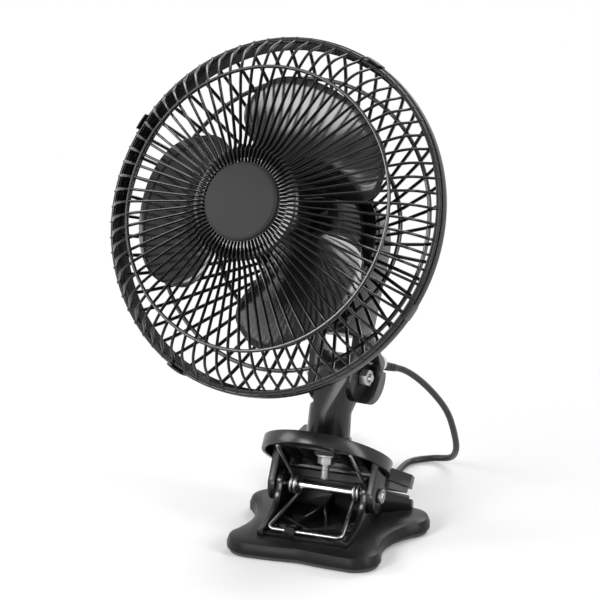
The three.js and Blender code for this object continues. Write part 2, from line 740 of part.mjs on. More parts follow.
// arm of the fork in the YZ plane: from the housing's foot down to a round ear
function forkArm(ear, rear) {
  const top = axisHeight - housingBottom + 1;
  const front = housingBack - forkReach;
  const shape = new THREE.Shape();
  shape.moveTo(front, top);
  shape.absarc(ear.y, ear.z, ear.r, 198 * deg, rear.angle);
  shape.lineTo(housingBack - 0.6, rear.z);
  shape.lineTo(housingBack - 0.6, top);
  return toSolid(sidePlate(shape, ear.x0, ear.x1, 12));
}

function buildHousing(head) {
  const outer = cut(
    toSolid(depthSlab(tombstone(housingRound), housingFront, housingRear - housingRound, {
      bevelEnabled: true, bevelThickness: housingRound, bevelSize: housingRound, bevelSegments: 2,
    })),
    block(-far, -4 * far, -far, far, housingY(housingFront), 4 * far),
  );
  const inner = toSolid(depthSlab(tombstone(housingWall), housingFront - 6, housingRear - housingWall));
  let housing = outer.subtract(inner);
  housing = housing.add(forkArm(leftEar, { angle: 400 * deg, z: 23 }));
  housing = housing.add(forkArm(rightEar, { angle: 435 * deg, z: 25 }));
  housing = cut(
    housing,
    rod('x', nutSeatX, rightEar.x1 + 1, nutHollow.r, 32).translate(0, nutHollow.y, 0),
    rod('x', -far, far, boltBore, 12),
    rod('y', bushingFloorY, far, bushingNeck + gap, 12).translate(bushingX, 0, bushingZ),
    block(bushingX - bushingRadius - gap, bushingSeatY, bushingZ - bushingRadius - gap, far, far, far / 2),
  );
  for (let i = 0; i < ventCount; i += 1) {
    const z = axisHeight - 8 - i * ventPitch;
    housing = cut(housing, block(
      -ventHalf.x, housingBack - 5, z - ventHalf.z, ventHalf.x, housingBack + 5, z + ventHalf.z,
    ));
  }
  const switchZ = axisHeight + switchRise;
  const opening = rockerRadius + gap;
  housing = cut(housing, block(
    -switchHalf - gap, housingBack - opening, switchZ - opening,
    switchHalf + gap, housingBack + opening, switchZ + opening,
  ));
  piece(head, 'motor_housing', housing, casingPlastic);
  buildSwitch(head, switchZ);
  buildTiltBolt(head);
}

// rocker on the back of the housing: a short drum with a two-sided cap, turning on its own axis
function buildSwitch(head, switchZ) {
  const rocker = groupAt(head, 0, housingBack - rockerRadius / 2, switchZ);
  const drum = toSolid(rod('x', -switchHalf, switchHalf, rockerRadius, 20));
  const cap = new THREE.Shape();
  cap.moveTo(-7, -7);
  cap.lineTo(rockerRadius * 0.8, -rockerRadius * 0.75);
  cap.lineTo(rockerRadius * 0.62, 0);
  cap.lineTo(rockerRadius * 0.92, rockerRadius * 0.6);
  cap.lineTo(-7, 7);
  piece(rocker, 'switch_rocker', drum.intersect(toSolid(sidePlate(cap, -10, 10))), badgePlastic);
}

function buildTiltBolt(head) {
  const under = leftEar.x0 - gap;
  const nutX = nutSeatX + gap;
  const nutEnd = nutX + tiltNutThick;
  const bolt = join(
    rod('x', under - boltHeadThick, under, tiltNutRadius, 6),
    rod('x', under - 0.1, nutEnd + boltProud, swivelBoltRadius, 20),
  );
  piece(head, 'tilt_bolt', bolt, brightSteel);
  const nut = toGeometry(hexNut(nutX, nutEnd, tiltNutRadius, boltBore));
  piece(head, 'tilt_nut', nut.rotateY(Math.PI / 2), brightSteel);
}

// ---------------------------------------------------------------- motor

// everything here is in the frame on the fan axis, +Y forward from the rim plane
function buildMotor(fan) {
  const flangeBack = -housingFront + gap;
  const flangeFront = flangeBack + flangeThick;
  const inner = noseRadius - coverWall;
  const back = -noseFront - coverWall;
  const shoulder = 5;
  const nose = revolve([
    [0, -noseFront], [noseRadius - shoulder, -noseFront],
    [noseRadius - 1.5, -noseFront - 1.5], [noseRadius, -noseFront - shoulder],
    [noseRadius, flangeFront], [flangeRadius, flangeFront], [flangeRadius, flangeBack],
    [inner, flangeBack], [inner, back - 2], [inner - 3, back], [0, back],
  ], 32);
  const plate = depthSlab(tombstone(0), housingFront - gap - flangeThick, housingFront - gap);
  plate.applyMatrix4(new THREE.Matrix4().makeTranslation(0, rimForward, -axisHeight));
  plate.rotateZ(Math.PI);
  const holed = cut(toSolid(plate), rod('y', -2 * far, -noseFront, inner + 0.5, 32));
  const seatEnd = back - 5.6;
  const seat = ring(bearingRadius + gap, bearingRadius + bearingLip, seatEnd, -noseFront - 1, 24);
  let cover = toSolid(nose).add(holed).add(toSolid(seat));
  cover = cut(cover, rod('y', -noseFront - 4, -noseFront + 1, shaftRadius + 0.5, 20));
  const slotHalf = coverSlotWidth / 2;
  for (let i = 0; i < coverSlots; i += 1) {
    const slot = block(-slotHalf, -noseFront - 6, 12, slotHalf, -noseFront + 2, 22);
    cover = cut(cover, slot.rotateY((i / coverSlots) * 2 * Math.PI));
  }
  piece(fan, 'motor_cover', cover, guardPlastic);

  piece(fan, 'stator', ring(statorBore, inner - gap, -statorRear, -statorFront, 24), darkSteel);
  for (const [name, from, way] of [['winding_front', -statorFront, 1], ['winding_rear', -statorRear, -1]]) {
    const near = from + way * gap;
    const end = near + way * windingDepth;
    const winding = ring(statorBore + 2, inner - 3, Math.min(near, end), Math.max(near, end), 20);
    piece(fan, name, winding, copper);
  }
  const frontBearing = ring(shaftRadius + gap, bearingRadius, seatEnd + 0.4, back - gap, 12);
  piece(fan, 'bearing_front', frontBearing, brass);

  const bracketRear = -housingFront - bracketBehind;
  const bracketEdge = housingHalf - housingWall - gap;
  const bracket = revolve([
    [bearingRadius + gap, bracketRear - 3], [bearingRadius + bearingLip, bracketRear - 3],
    [bearingRadius + bearingLip, bracketRear], [bracketEdge, bracketRear],
    [bracketEdge, bracketRear + 2], [bearingRadius + gap, bracketRear + 2],
  ], 24);
  piece(fan, 'motor_bracket', bracket, darkSteel);
  const rearBearing = ring(shaftRadius + gap, bearingRadius, bracketRear - 2.6, bracketRear + 1.8, 12);
  piece(fan, 'bearing_rear', rearBearing, brass);
}

function buildRotor(fan) {
  const rotor = new THREE.Group();
  fan.add(rotor);
  const shaftBack = -housingFront - bracketBehind - 5;
  piece(rotor, 'shaft', rod('y', shaftBack, shaftFront, shaftRadius, 16), brightSteel);
  const core = ring(shaftRadius + gap, rotorRadius, -statorRear - 1, -statorFront - 0.6, 20);
  piece(rotor, 'rotor', core, darkSteel);
  buildBlades(rotor);
}

// ---------------------------------------------------------------- blades

// one paddle as a closed skin: broad, cambered and pitched, with a round tip
function bladeSkin() {
  const across = 5;
  const along = 5;
  const root = bladeHubRadius - 1.5;
  const positions = [];
  const index = [];
  const point = (u, v, face) => {
    const half = (24 + 20 * Math.sin(Math.min(u, 0.75) / 0.75 * Math.PI / 2)) * deg;
    const round = 1 - 0.17 * u * u * v ** 4;
    const radius = root + (bladeTip - root) * u * round;
    const a = Math.PI - bladeAngle + half * v * (1 - 0.22 * u ** 6 * Math.abs(v));
    const height = 9 + v * (9.5 - 1.5 * u) + 3 * (1 - v * v) * (0.4 + u) + face * bladeThick / 2;
    return [radius * Math.cos(a), height, radius * Math.sin(a)];
  };
  for (const face of [1, -1]) {
    for (let i = 0; i <= along; i += 1) {
      for (let j = 0; j <= across; j += 1) positions.push(...point(i / along, 2 * j / across - 1, face));
    }
  }
  const at = (face, i, j) => face * (along + 1) * (across + 1) + i * (across + 1) + j;
  for (let i = 0; i < along; i += 1) {
    for (let j = 0; j < across; j += 1) {
      index.push(at(0, i, j), at(0, i, j + 1), at(0, i + 1, j + 1));
      index.push(at(0, i, j), at(0, i + 1, j + 1), at(0, i + 1, j));
      index.push(at(1, i, j), at(1, i + 1, j + 1), at(1, i, j + 1));
      index.push(at(1, i, j), at(1, i + 1, j), at(1, i + 1, j + 1));
    }
  }
  const rim = [];
  for (let j = 0; j < across; j += 1) rim.push([0, j]);
  for (let i = 0; i < along; i += 1) rim.push([i, across]);
  for (let j = across; j > 0; j -= 1) rim.push([along, j]);
  for (let i = along; i > 0; i -= 1) rim.push([i, 0]);
  rim.forEach(([i, j], n) => {
    const [i2, j2] = rim[(n + 1) % rim.length];
    index.push(at(0, i, j), at(1, i, j), at(1, i2, j2), at(0, i, j), at(1, i2, j2), at(0, i2, j2));
  });
  return outward(positions, index);
}

// closed geometry with its faces turned outwards
function outward(positions, index) {
  let volume = 0;
  const v = (n) => new THREE.Vector3().fromArray(positions, 3 * n);
  for (let i = 0; i < index.length; i += 3) {
    volume += v(index[i]).dot(v(index[i + 1]).cross(v(index[i + 2])));
  }
  if (volume < 0) index.reverse();
  const geometry = new THREE.BufferGeometry();
  geometry.setAttribute('position', new THREE.Float32BufferAttribute(positions, 3));
  geometry.setIndex(index);
  geometry.computeVertexNormals();
  return geometry;
}

function buildBlades(rotor) {
  const bore = shaftRadius + gap;
  const inside = bladeHubRadius - bladeHubWall;
  const front = bladeHubFront;
  const rear = bladeHubRear;
  const hub = revolve([
    [bore, rear + 2], [4.6, rear + 2], [4.6, front - 4], [inside, front - 4],
    [inside, rear], [bladeHubRadius, rear], [bladeHubRadius, front - 2],
    [bladeHubRadius - 2, front], [bore, front],
  ], 30);
  const core = rod('y', rear - 2, front - 3, inside - 0.01, 30);
  let blades = toSolid(hub);
  for (let i = 0; i < 3; i += 1) {
    const paddle = toSolid(bladeSkin().rotateY(-i * 120 * deg));
    blades = blades.add(paddle.subtract(toSolid(core)));
  }
  piece(rotor, 'blades', blades, bladePlastic);
}

// ---------------------------------------------------------------- guards

// shell of revolution about +Y: radial bars with a ridge outside, joined by closed rings.
// `outer` and `inner` are [radius, height] stations, `open[i]` slots the run from i to i + 1
function barredShell(outer, inner, open, bars, width) {
  const positions = [];
  const index = [];
  const n = outer.length;
  const put = (r, y, a) => positions.push(r * Math.cos(a), y, r * Math.sin(a));
  for (let i = 0; i < n; i += 1) {
    for (let k = 0; k < bars; k += 1) {
      const a = (k / bars) * 2 * Math.PI;
      const half = Math.asin(width / 2 / inner[i][0]);
      put(outer[i][0], outer[i][1], a);
      put(inner[i][0], inner[i][1], a - half);
      put(inner[i][0], inner[i][1], a + half);
    }
  }
  const id = (i, k, s) => (i * bars + (k % bars)) * 3 + s;
  const quad = (a, b, c, d) => index.push(a, b, c, a, c, d);
  for (let k = 0; k < bars; k += 1) {
    for (let i = 0; i < n - 1; i += 1) {
      quad(id(i, k, 1), id(i + 1, k, 1), id(i + 1, k, 2), id(i, k, 2));
      if (open[i]) {
        quad(id(i, k, 0), id(i + 1, k, 0), id(i + 1, k, 1), id(i, k, 1));
        quad(id(i, k, 2), id(i + 1, k, 2), id(i + 1, k, 0), id(i, k, 0));
      } else {
        quad(id(i, k, 0), id(i, k + 1, 0), id(i + 1, k + 1, 0), id(i + 1, k, 0));
        quad(id(i, k, 2), id(i + 1, k, 2), id(i + 1, k + 1, 1), id(i, k + 1, 1));
      }
    }
    for (let i = 0; i < n; i += 1) {
      const before = i > 0 && !open[i - 1];
      const after = i < n - 1 && !open[i];
      const wall = [id(i, k, 0), id(i, k, 2), id(i, k + 1, 1), id(i, k + 1, 0)];
      if (after && !before) quad(...wall);
      if (before && !after) quad(wall[3], wall[2], wall[1], wall[0]);
    }
    index.push(id(0, k, 0), id(0, k, 1), id(0, k, 2));
    index.push(id(n - 1, k, 0), id(n - 1, k, 2), id(n - 1, k, 1));
  }
  return outward(positions, index);
}

function buildFrontGuard(fan) {
  const ringBack = rimSeam + gap * 2;
  const ringInner = rimRadius - frontRingWall;
  const shoulder = bladeTip + 0.4;
  const side = (shoulder + rimRadius - 2.4) / 2;
  const outer = [
    [badgeStem, guardFace], [badgeRadius + 0.4, guardFace - 0.2], [25.2, guardFace - 0.6],
    [28.6, guardFace - 3.7], [shoulder - 1.8, 26.8], [shoulder, 25.8],
    [side + 1.9, 18.4], [rimRadius - 2.4, 5.2], [rimRadius - 0.7, rimHalfDepth], [rimRadius, ringBack],
  ];
  const inner = [
    [badgeStem, guardFace - 2.8], [badgeRadius + 0.4, guardFace - 3], [24, guardFace - 3.4],
    [27.4, guardFace - 6.6], [shoulder - 1.8, 24.4], [shoulder - 0.2, 23.4],
    [side + 0.7, 16.8], [ringInner - 1, 3.6], [ringInner, 2.4], [ringInner, ringBack],
  ];
  const open = [false, true, true, true, false, true, true, false, false];
  piece(fan, 'front_guard', barredShell(outer, inner, open, frontBars, barWidth), guardPlastic);
  const cap = revolve([
    [0, guardFace - 3.6], [badgeStem - gap, guardFace - 3.6], [badgeStem - gap, guardFace + gap],
    [badgeRadius, guardFace + gap], [badgeRadius, guardFace + 2], [badgeRadius - 1.2, guardFace + 3],
    [0, guardFace + 3.8],
  ], 32);
  piece(fan, 'badge_cap', cap, badgePlastic);
}

function buildRearGuard(fan) {
  const seat = -housingFront + gap + flangeThick + gap;
  const outer = [
    [noseRadius + gap, seat], [flangeRadius - 0.5, seat], [53, -43.6], [55.2, -42.2],
    [79, -24.4], [81.2, -22.6], [91.4, -12.6], [rimRadius, -rimHalfDepth], [rimRadius, rimSeam],
  ];
  const inner = [
    [noseRadius + gap, seat + 3], [flangeRadius - 0.5, seat + 2.8], [53, -40.6], [55.2, -39.2],
    [78.2, -21.6], [80.2, -19.8], [89.8, -10.8], [rimInner, 1.2 - rimHalfDepth], [rimInner, rimSeam],
  ];
  const open = [false, true, false, true, false, true, true, false];
  piece(fan, 'rear_guard', barredShell(outer, inner, open, rearBars, rearBarWidth), guardPlastic);
}

// four clips on the outside of the rim, hooked over the front guard's ring
function buildRimClips(fan) {
  const inside = rimRadius + gap;
  const front = rimHalfDepth + gap;
  for (let i = 0; i < 4; i += 1) {
    const clip = join(
      block(inside, -rimHalfDepth, -clipHalf, inside + clipThick, front + clipThick, clipHalf),
      block(rimRadius - 0.9, front, -clipHalf, inside + 0.1, front + clipThick, clipHalf),
    );
    const angle = Math.PI - bladeAngle - i * 90 * deg;
    piece(fan, `rim_clip_${i + 1}`, toGeometry(clip).rotateY(-angle), badgePlastic);
  }
}

// ---------------------------------------------------------------- cord and plug

// strain relief in the back of the right fork ear: a neck in its hole and a round body outside
function buildBushing(head) {
  const bushing = revolve([
    [0, bushingFloorY + gap], [bushingNeck, bushingFloorY + gap], [bushingNeck, bushingSeatY + gap],
    [bushingRadius, bushingSeatY + gap], [bushingRadius, bushingEndY - 2.4],
    [bushingRadius - 0.9, bushingEndY - 0.5], [bushingRadius - 1.6, bushingEndY], [0, bushingEndY],
  ], 18).translate(bushingX, 0, bushingZ);
  piece(head, 'cord_bushing', bushing, bushingPlastic);
  head.updateWorldMatrix(true, false);
  const end = new THREE.Vector3(bushingX, bushingEndY, bushingZ).applyMatrix4(head.matrixWorld);
  const way = new THREE.Vector3(0, 1, 0).transformDirection(head.matrixWorld);
  return { end, way };
}

// layers wound in and out by turns, climbing in the half turn where the winding reverses
function coilPath() {
  const perLayer = coilLoops / coilLayers;
  const outerRadius = coilMeanRadius + coilStep * perLayer / 2;
  const steps = coilLoops * coilSteps;
  const points = [];
  for (let i = 0; i <= steps; i += 1) {
    const turn = i / coilSteps;
    const layer = Math.min(Math.floor(turn / perLayer), coilLayers - 1);
    const within = turn - layer * perLayer;
    const inward = layer % 2 === 0 ? within : perLayer - within;
    let climb = 0;
    for (let n = 1; n < coilLayers; n += 1) {
      climb += THREE.MathUtils.clamp((turn - n * perLayer) / 0.5 + 0.5, 0, 1);
    }
    const a = -turn * 2 * Math.PI;
    const radius = outerRadius - coilStep * inward;
    points.push(new THREE.Vector3(
      coilCentre.x + radius * Math.cos(a),
      coilCentre.y + radius * Math.sin(a),
      cordFloor + coilStep * climb,
    ));
  }
  return points;
}

// free stretches: from the bushing over and down to the table and round to the coil, then to the plug
function buildCord(parent, bushing) {
  const coil = coilPath();
  const lead = new THREE.Vector3().subVectors(coil[0], coil[1]).normalize();
  const leave = new THREE.Vector3().subVectors(coil.at(-1), coil.at(-2)).normalize();
  const from = (point, way, distance) => point.clone().addScaledVector(way, distance);
  const exit = gap * 2;
  const route = [
    from(bushing.end, bushing.way, exit), from(bushing.end, bushing.way, exit + cordDia * 2),
    new THREE.Vector3(26.6, 56, 82.2), new THREE.Vector3(32.6, 72, 69), new THREE.Vector3(38.4, 92, 46.8),
    new THREE.Vector3(38.6, 105, 28), new THREE.Vector3(36, 115, 14), new THREE.Vector3(29, 124, 5),
    new THREE.Vector3(18, 126, 2.3), new THREE.Vector3(8, 118, cordFloor),
    from(coil[0], lead, exit + cordDia * 6), from(coil[0], lead, exit + cordDia * 2),
    from(coil[0], lead, exit),
  ];
  const curve = new THREE.CatmullRomCurve3(route, false, 'centripetal');
  const steps = Math.round(curve.getLength() / (cordDia * 2));
  piece(parent, 'cord_lead', wire(curve.getSpacedPoints(steps), cordRadius, 8), cordPlastic);
  console.log(`cord_coil: least gap to itself ${leastSelfGap(coil, cordRadius, 60).toFixed(2)} mm`);
  piece(parent, 'cord_coil', wire(coil, cordRadius, 5), cordPlastic);
  const end = coil.at(-1);
  const plug = new THREE.Vector3(end.x, plugY, plugHeight / 2);
  const tail = [
    from(end, leave, exit), from(end, leave, exit + cordDia),
    new THREE.Vector3(end.x, (end.y + plugY) / 2, (end.z + plug.z) / 2),
    new THREE.Vector3(end.x, plugY - cordDia * 1.5, plug.z), plug,
  ];
  const tailCurve = new THREE.CatmullRomCurve3(tail, false, 'centripetal');
  piece(parent, 'cord_tail', wire(tailCurve.getSpacedPoints(6), cordRadius, 8), cordPlastic);
  buildPlug(parent, plug.x, plugY + exit, plug.z);
}

// flat two-pin plug lying on the table, cord end towards the front
function buildPlug(parent, x, y, z) {
  const plug = groupAt(parent, x, y, z);
  const half = plugWidth / 2;
  const grip = new THREE.Shape();
  grip.moveTo(-cordRadius - 1.4, 0);
  grip.lineTo(cordRadius + 1.4, 0);
  grip.quadraticCurveTo(cordRadius + 2, 6, half - 3, 9);
  grip.quadraticCurveTo(half, 11, half, 15);
  grip.lineTo(half, plugLength);
  grip.lineTo(-half, plugLength);
  grip.lineTo(-half, 15);
  grip.quadraticCurveTo(-half, 11, 3 - half, 9);
  grip.quadraticCurveTo(-cordRadius - 2, 6, -cordRadius - 1.4, 0);
  piece(plug, 'plug_body', slab(grip, -plugHeight / 2, plugHeight / 2, 4), cordPlastic);
  for (const [name, side] of [['plug_pin_left', -1], ['plug_pin_right', 1]]) {
    const px = side * pinSpacing / 2;
    const root = plugLength + gap;
    const pin = block(-pinThick / 2, root, -pinWidth / 2, pinThick / 2, root + pinLength, pinWidth / 2);
    piece(plug, name, pin.translate(px, 0, 0), brass);
  }
}

// ---------------------------------------------------------------- assembly

const fan = new THREE.Group();
fan.name = 'clip_fan';
buildFoot(fan);
buildLowerJaw(fan);
buildAxle(fan);
buildSpring(fan);
buildUpperJaw(fan);
const stem = buildStem(fan);
const head = groupAt(stem, 0, 0, 0);
head.rotation.x = stemLean - headPitch;
buildHousing(head);
const blower = groupAt(head, 0, -rimForward, axisHeight);
blower.rotation.z = Math.PI;
buildMotor(blower);
buildRotor(blower);
buildFrontGuard(blower);
buildRearGuard(blower);
buildRimClips(blower);
buildCord(fan, buildBushing(head));

export default fan;
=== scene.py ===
# %% [markdown]
# # A clip fan in dark moulded plastic
# The frame that is loaded here holds every part at its real size. This file gives the parts their
# surfaces, makes the guards, the blades, the wire spring, the cord and some small details anew
# with rounder forms, and sets up a plain studio. Nothing in the frame is moved: most of the pieces
# that are made here ride on its bodies.

# %% Load the imported model
import json
import math
import bmesh
import bpy
from mathutils import Matrix, Vector


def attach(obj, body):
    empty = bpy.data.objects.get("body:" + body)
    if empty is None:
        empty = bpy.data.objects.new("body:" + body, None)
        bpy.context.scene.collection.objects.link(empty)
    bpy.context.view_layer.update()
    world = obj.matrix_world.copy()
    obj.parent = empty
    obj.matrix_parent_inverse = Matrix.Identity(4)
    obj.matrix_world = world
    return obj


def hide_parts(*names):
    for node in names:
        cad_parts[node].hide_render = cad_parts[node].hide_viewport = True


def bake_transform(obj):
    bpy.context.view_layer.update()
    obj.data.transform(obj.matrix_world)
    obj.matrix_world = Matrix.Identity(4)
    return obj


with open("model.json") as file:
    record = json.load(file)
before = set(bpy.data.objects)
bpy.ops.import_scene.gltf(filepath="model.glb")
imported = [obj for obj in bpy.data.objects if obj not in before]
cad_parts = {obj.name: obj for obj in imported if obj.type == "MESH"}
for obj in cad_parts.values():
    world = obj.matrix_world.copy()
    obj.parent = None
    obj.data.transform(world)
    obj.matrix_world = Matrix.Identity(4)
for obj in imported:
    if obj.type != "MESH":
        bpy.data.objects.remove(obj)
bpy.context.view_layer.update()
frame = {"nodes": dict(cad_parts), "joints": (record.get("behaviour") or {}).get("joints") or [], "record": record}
NODES = frame["nodes"]
MM = 0.001

# %% [markdown]
# ## The camera
# The picture is taken from the front and right, a little above, with a long lens. A long lens
# keeps the round cage a true ellipse, so the view matches the photograph all over and not only in
# the middle. The camera is aimed at the point of the object that sits in the middle of the
# picture.

# %% Camera
AZIMUTH = math.radians(21.0)
ELEVATION = math.radians(21.0)
LENS = 500.0
SENSOR = 36.0
PIXELS, MM_PER_PIXEL = 600, 0.5435
PICTURE_WIDTH = PIXELS * MM_PER_PIXEL * MM     # width of the view at the object
TO_RIGHT, UPWARDS, TOWARDS = -11.96 * MM, 130.4 * MM, 27.5 * MM

right = Vector((math.cos(AZIMUTH), math.sin(AZIMUTH), 0))
back = Vector((math.sin(AZIMUTH) * math.cos(ELEVATION), -math.cos(AZIMUTH) * math.cos(ELEVATION),
               math.sin(ELEVATION)))
up = back.cross(right)
target = right * TO_RIGHT + up * UPWARDS + back * TOWARDS
distance = PICTURE_WIDTH * LENS / SENSOR

camera_data = bpy.data.cameras.new("camera")
camera_data.lens = LENS
camera_data.sensor_width = SENSOR
camera_data.clip_start, camera_data.clip_end = 0.5, 40.0
camera = bpy.data.objects.new("camera", camera_data)
bpy.context.scene.collection.objects.link(camera)
facing = back.to_track_quat("Z", "Y").to_matrix().to_4x4()
camera.matrix_world = Matrix.Translation(target + back * distance) @ facing
bpy.context.scene.camera = camera
bpy.context.scene.view_settings.view_transform = "Standard"
print("camera", round(distance, 2), "m from the object")

# %% [markdown]
# ## Places on the object
# The head leans and turns, so its details are easiest to place in the head's own frame. The
# joints say where that frame is: the tilt hinge gives the origin and the sideways axis, and the
# fan's own axis gives the forward one.

# %% The head's frame
JOINTS = {joint["name"]: joint for joint in frame["joints"]}
head_side = Vector(JOINTS["head_tilt"]["axis"]).normalized()
head_back = -Vector(JOINTS["blade_spin"]["axis"]).normalized()
head_up = head_side.cross(head_back)
head_frame = Matrix.Translation(JOINTS["head_tilt"]["pos_m"]) @ Matrix(
    (head_side, head_back, head_up)).transposed().to_4x4()


def on_head(x, y, z):
    """A point of the head, given in millimetres from its tilt hinge."""
    return head_frame @ (Vector((x, y, z)) * MM)


# %% [markdown]
# ## Tubes along a path
# A cord, a spring and a moulded boot are all a round section carried along a line. The section is
# turned as little as possible from one point to the next, which keeps the tube free of twist, and
# a radius for every point lets the same function taper a boot or cap a wire's end.

# %% Lines through points
def spline(points, counts):
    """A smooth line through the points, with the given number of steps in each span.

    Each span is weighed by the square root of its length, so that the line doesn't bulge or loop
    where a short span follows a long one.
    """
    pts = [Vector(p) for p in points]
    pts = [pts[0] * 2 - pts[1]] + pts + [pts[-1] * 2 - pts[-2]]
    out = []
    for i, count in enumerate(counts):
        p0, p1, p2, p3 = pts[i:i + 4]
        t = [0.0]
        for a, b in ((p0, p1), (p1, p2), (p2, p3)):
            t.append(t[-1] + math.sqrt(max((b - a).length, 1e-9)))
        for k in range(count):
            s = t[1] + (t[2] - t[1]) * k / count
            a1 = p0.lerp(p1, (s - t[0]) / (t[1] - t[0]))
            a2 = p1.lerp(p2, (s - t[1]) / (t[2] - t[1]))
            a3 = p2.lerp(p3, (s - t[2]) / (t[3] - t[2]))
            b1 = a1.lerp(a2, (s - t[0]) / (t[2] - t[0]))
            b2 = a2.lerp(a3, (s - t[1]) / (t[3] - t[1]))
            out.append(b1.lerp(b2, (s - t[1]) / (t[2] - t[1])))
    return out + [pts[-2]]


def smooth_path(points, step):
    """Points about a step apart on a smooth line through the given points."""
    spans = zip(points, points[1:])
    return spline(points, [max(1, round((b - a).length / step)) for a, b in spans])


def path_length(points):
    """The sum of the straight stretches between the points."""
    return sum((b - a).length for a, b in zip(points, points[1:]))


# %% Objects from points and faces
SHARP_OVER = math.radians(40)          # an edge that turns further than this stays sharp


def mesh_piece(name, verts, faces):
    """An object with its faces turned outwards and its curves shaded smooth."""
    mesh = bpy.data.meshes.new(name)
    mesh.from_pydata([tuple(v) for v in verts], [], faces)
    mesh.validate()
    shell = bmesh.new()
    shell.from_mesh(mesh)
    bmesh.ops.recalc_face_normals(shell, faces=shell.faces)
    shell.to_mesh(mesh)
    shell.free()
    mesh.shade_smooth()
    mesh.set_sharp_from_angle(angle=SHARP_OVER)
    piece = bpy.data.objects.new(name, mesh)
    bpy.context.scene.collection.objects.link(piece)
    return piece


# %% Sweep a round section
def sweep(name, points, radius, sides=16):
    """A closed tube along the points. radius is one number, or one for each point."""
    radii = radius if hasattr(radius, "__len__") else [radius] * len(points)
    verts, faces = [], []
    along = (points[1] - points[0]).normalized()
    side = along.orthogonal().normalized()
    for i, p in enumerate(points):
        ahead = points[min(i + 1, len(points) - 1)] - points[max(i - 1, 0)]
        if ahead.length > 1e-9:
            turned = along.rotation_difference(ahead.normalized())
            side = turned @ side
            along = ahead.normalized()
        side = (side - along * side.dot(along)).normalized()
        across = along.cross(side)
        for k in range(sides):
            a = 2 * math.pi * k / sides
            verts.append(p + (side * math.cos(a) + across * math.sin(a)) * radii[i])
    for i in range(len(points) - 1):
        for k in range(sides):
            n = (k + 1) % sides
            faces.append((i * sides + k, i * sides + n, (i + 1) * sides + n, (i + 1) * sides + k))
    faces.append(tuple(reversed(range(sides))))
    faces.append(tuple(range((len(points) - 1) * sides, len(points) * sides)))
    return mesh_piece(name, verts, faces)


# %% [markdown]
# ## The cord
# A light mains lead: 3.6 mm thick, about a metre and a half long as on most fans of this size,
# and of middling stiffness. It leaves the back of the fork, drops to the table behind the fan and
# is wound in a neat coil behind the foot, where the clip hides it. The head turns and tilts, so
# the free stretch is cut into three lengths. A curve object could hold the line as well, but a
# swept mesh can start and stop exactly where its neighbours do.

# %% The cord's route
CORD = 3.6 * MM
FLOOR_LINE = CORD / 2 + 0.1 * MM       # the cord's middle where it lies on the table
CLEAR = 0.6 * MM                       # between one length of cord and the next piece
COIL_AT = Vector((-21, 73, 0)) * MM
LOOPS = 9.5
LAYERS = 4
LOOP_MEAN = 21 * MM
LOOP_STEP = CORD + 0.5 * MM
BUSHING_END = (18.0, 17.4, 10.5)       # in the head's frame
PLUG_Y, PLUG_Z = 98 * MM, 6 * MM       # cord end of the plug
PATH_STEP = 1.5 * MM
SAME_POINT = 0.05 * MM                 # points closer than this count as one


def coil_points(steps_each=48):
    """Layers wound in and out by turns, climbing in the half turn where the winding reverses."""
    per_layer = LOOPS / LAYERS
    outer = LOOP_MEAN + LOOP_STEP * per_layer / 2
    points = []
    for i in range(round(LOOPS * steps_each) + 1):
        turn = i / steps_each
        layer = min(int(turn / per_layer), LAYERS - 1)
        within = turn - layer * per_layer
        inward = within if layer % 2 == 0 else per_layer - within
        climb = sum(min(max((turn - n * per_layer) / 0.5 + 0.5, 0), 1) for n in range(1, LAYERS))
        radius = outer - LOOP_STEP * inward
        angle = -turn * 2 * math.pi
        points.append(COIL_AT + Vector((radius * math.cos(angle), radius * math.sin(angle),
                                        FLOOR_LINE + LOOP_STEP * climb)))
    return points


coil = coil_points()
arrive = (coil[0] - coil[1]).normalized()
leave = (coil[-1] - coil[-2]).normalized()
bushing_end = on_head(*BUSHING_END)
waypoints = [(26.6, 56, 82.2), (32.6, 72, 69), (38.4, 92, 46.8), (38.6, 105, 28), (36, 115, 14),
             (29, 124, 5), (18, 126, 2.3), (8, 118, 1.9)]
drop = smooth_path([
    bushing_end + head_back * CLEAR, bushing_end + head_back * (CLEAR + CORD * 2),
    *(Vector(point) * MM for point in waypoints),
    *(coil[0] + arrive * (CLEAR + CORD * far) for far in (6, 2, 0)),
], PATH_STEP)
end = coil[-1]
tail = smooth_path([
    end + leave * CLEAR, end + leave * (CLEAR + CORD),
    Vector((end.x, (end.y + PLUG_Y) / 2, (end.z + PLUG_Z) / 2)),
    Vector((end.x, PLUG_Y - CORD * 1.5, PLUG_Z)), Vector((end.x, PLUG_Y, PLUG_Z)),
], PATH_STEP)
print("cord:", round(path_length(drop + coil + tail), 3), "m long,",
      len(drop), "points in the free stretch")

# %% The cord's pieces
SLEEVE = 11                            # points of the drop that the sleeve covers, about 16 mm


def joined_mesh(name, parts, sides=16):
    """One tube along several point lists that follow on from one another."""
    points = []
    for part in parts:
        points += [p for p in part if not points or (p - points[-1]).length > SAME_POINT]
    return sweep(name, points, CORD / 2, sides), points


UPPER, MIDDLE = 23, 56                 # points in the upper and the middle length
first_cut, second_cut = SLEEVE + UPPER, SLEEVE + UPPER + MIDDLE
cord_upper, upper_line = joined_mesh("cord_upper", [drop[SLEEVE:first_cut + 1]])
cord_middle, middle_line = joined_mesh("cord_middle", [drop[first_cut:second_cut + 1]])
cord_rest, rest_line = joined_mesh("cord_wound", [drop[second_cut:], coil, tail], sides=12)
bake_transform(cord_upper)
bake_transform(cord_middle)
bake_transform(cord_rest)
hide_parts("cord_lead")
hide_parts("cord_coil", "cord_tail")
lengths = [path_length(line) for line in (upper_line, middle_line, rest_line)]
print("cord pieces:", [round(length, 3) for length in lengths])

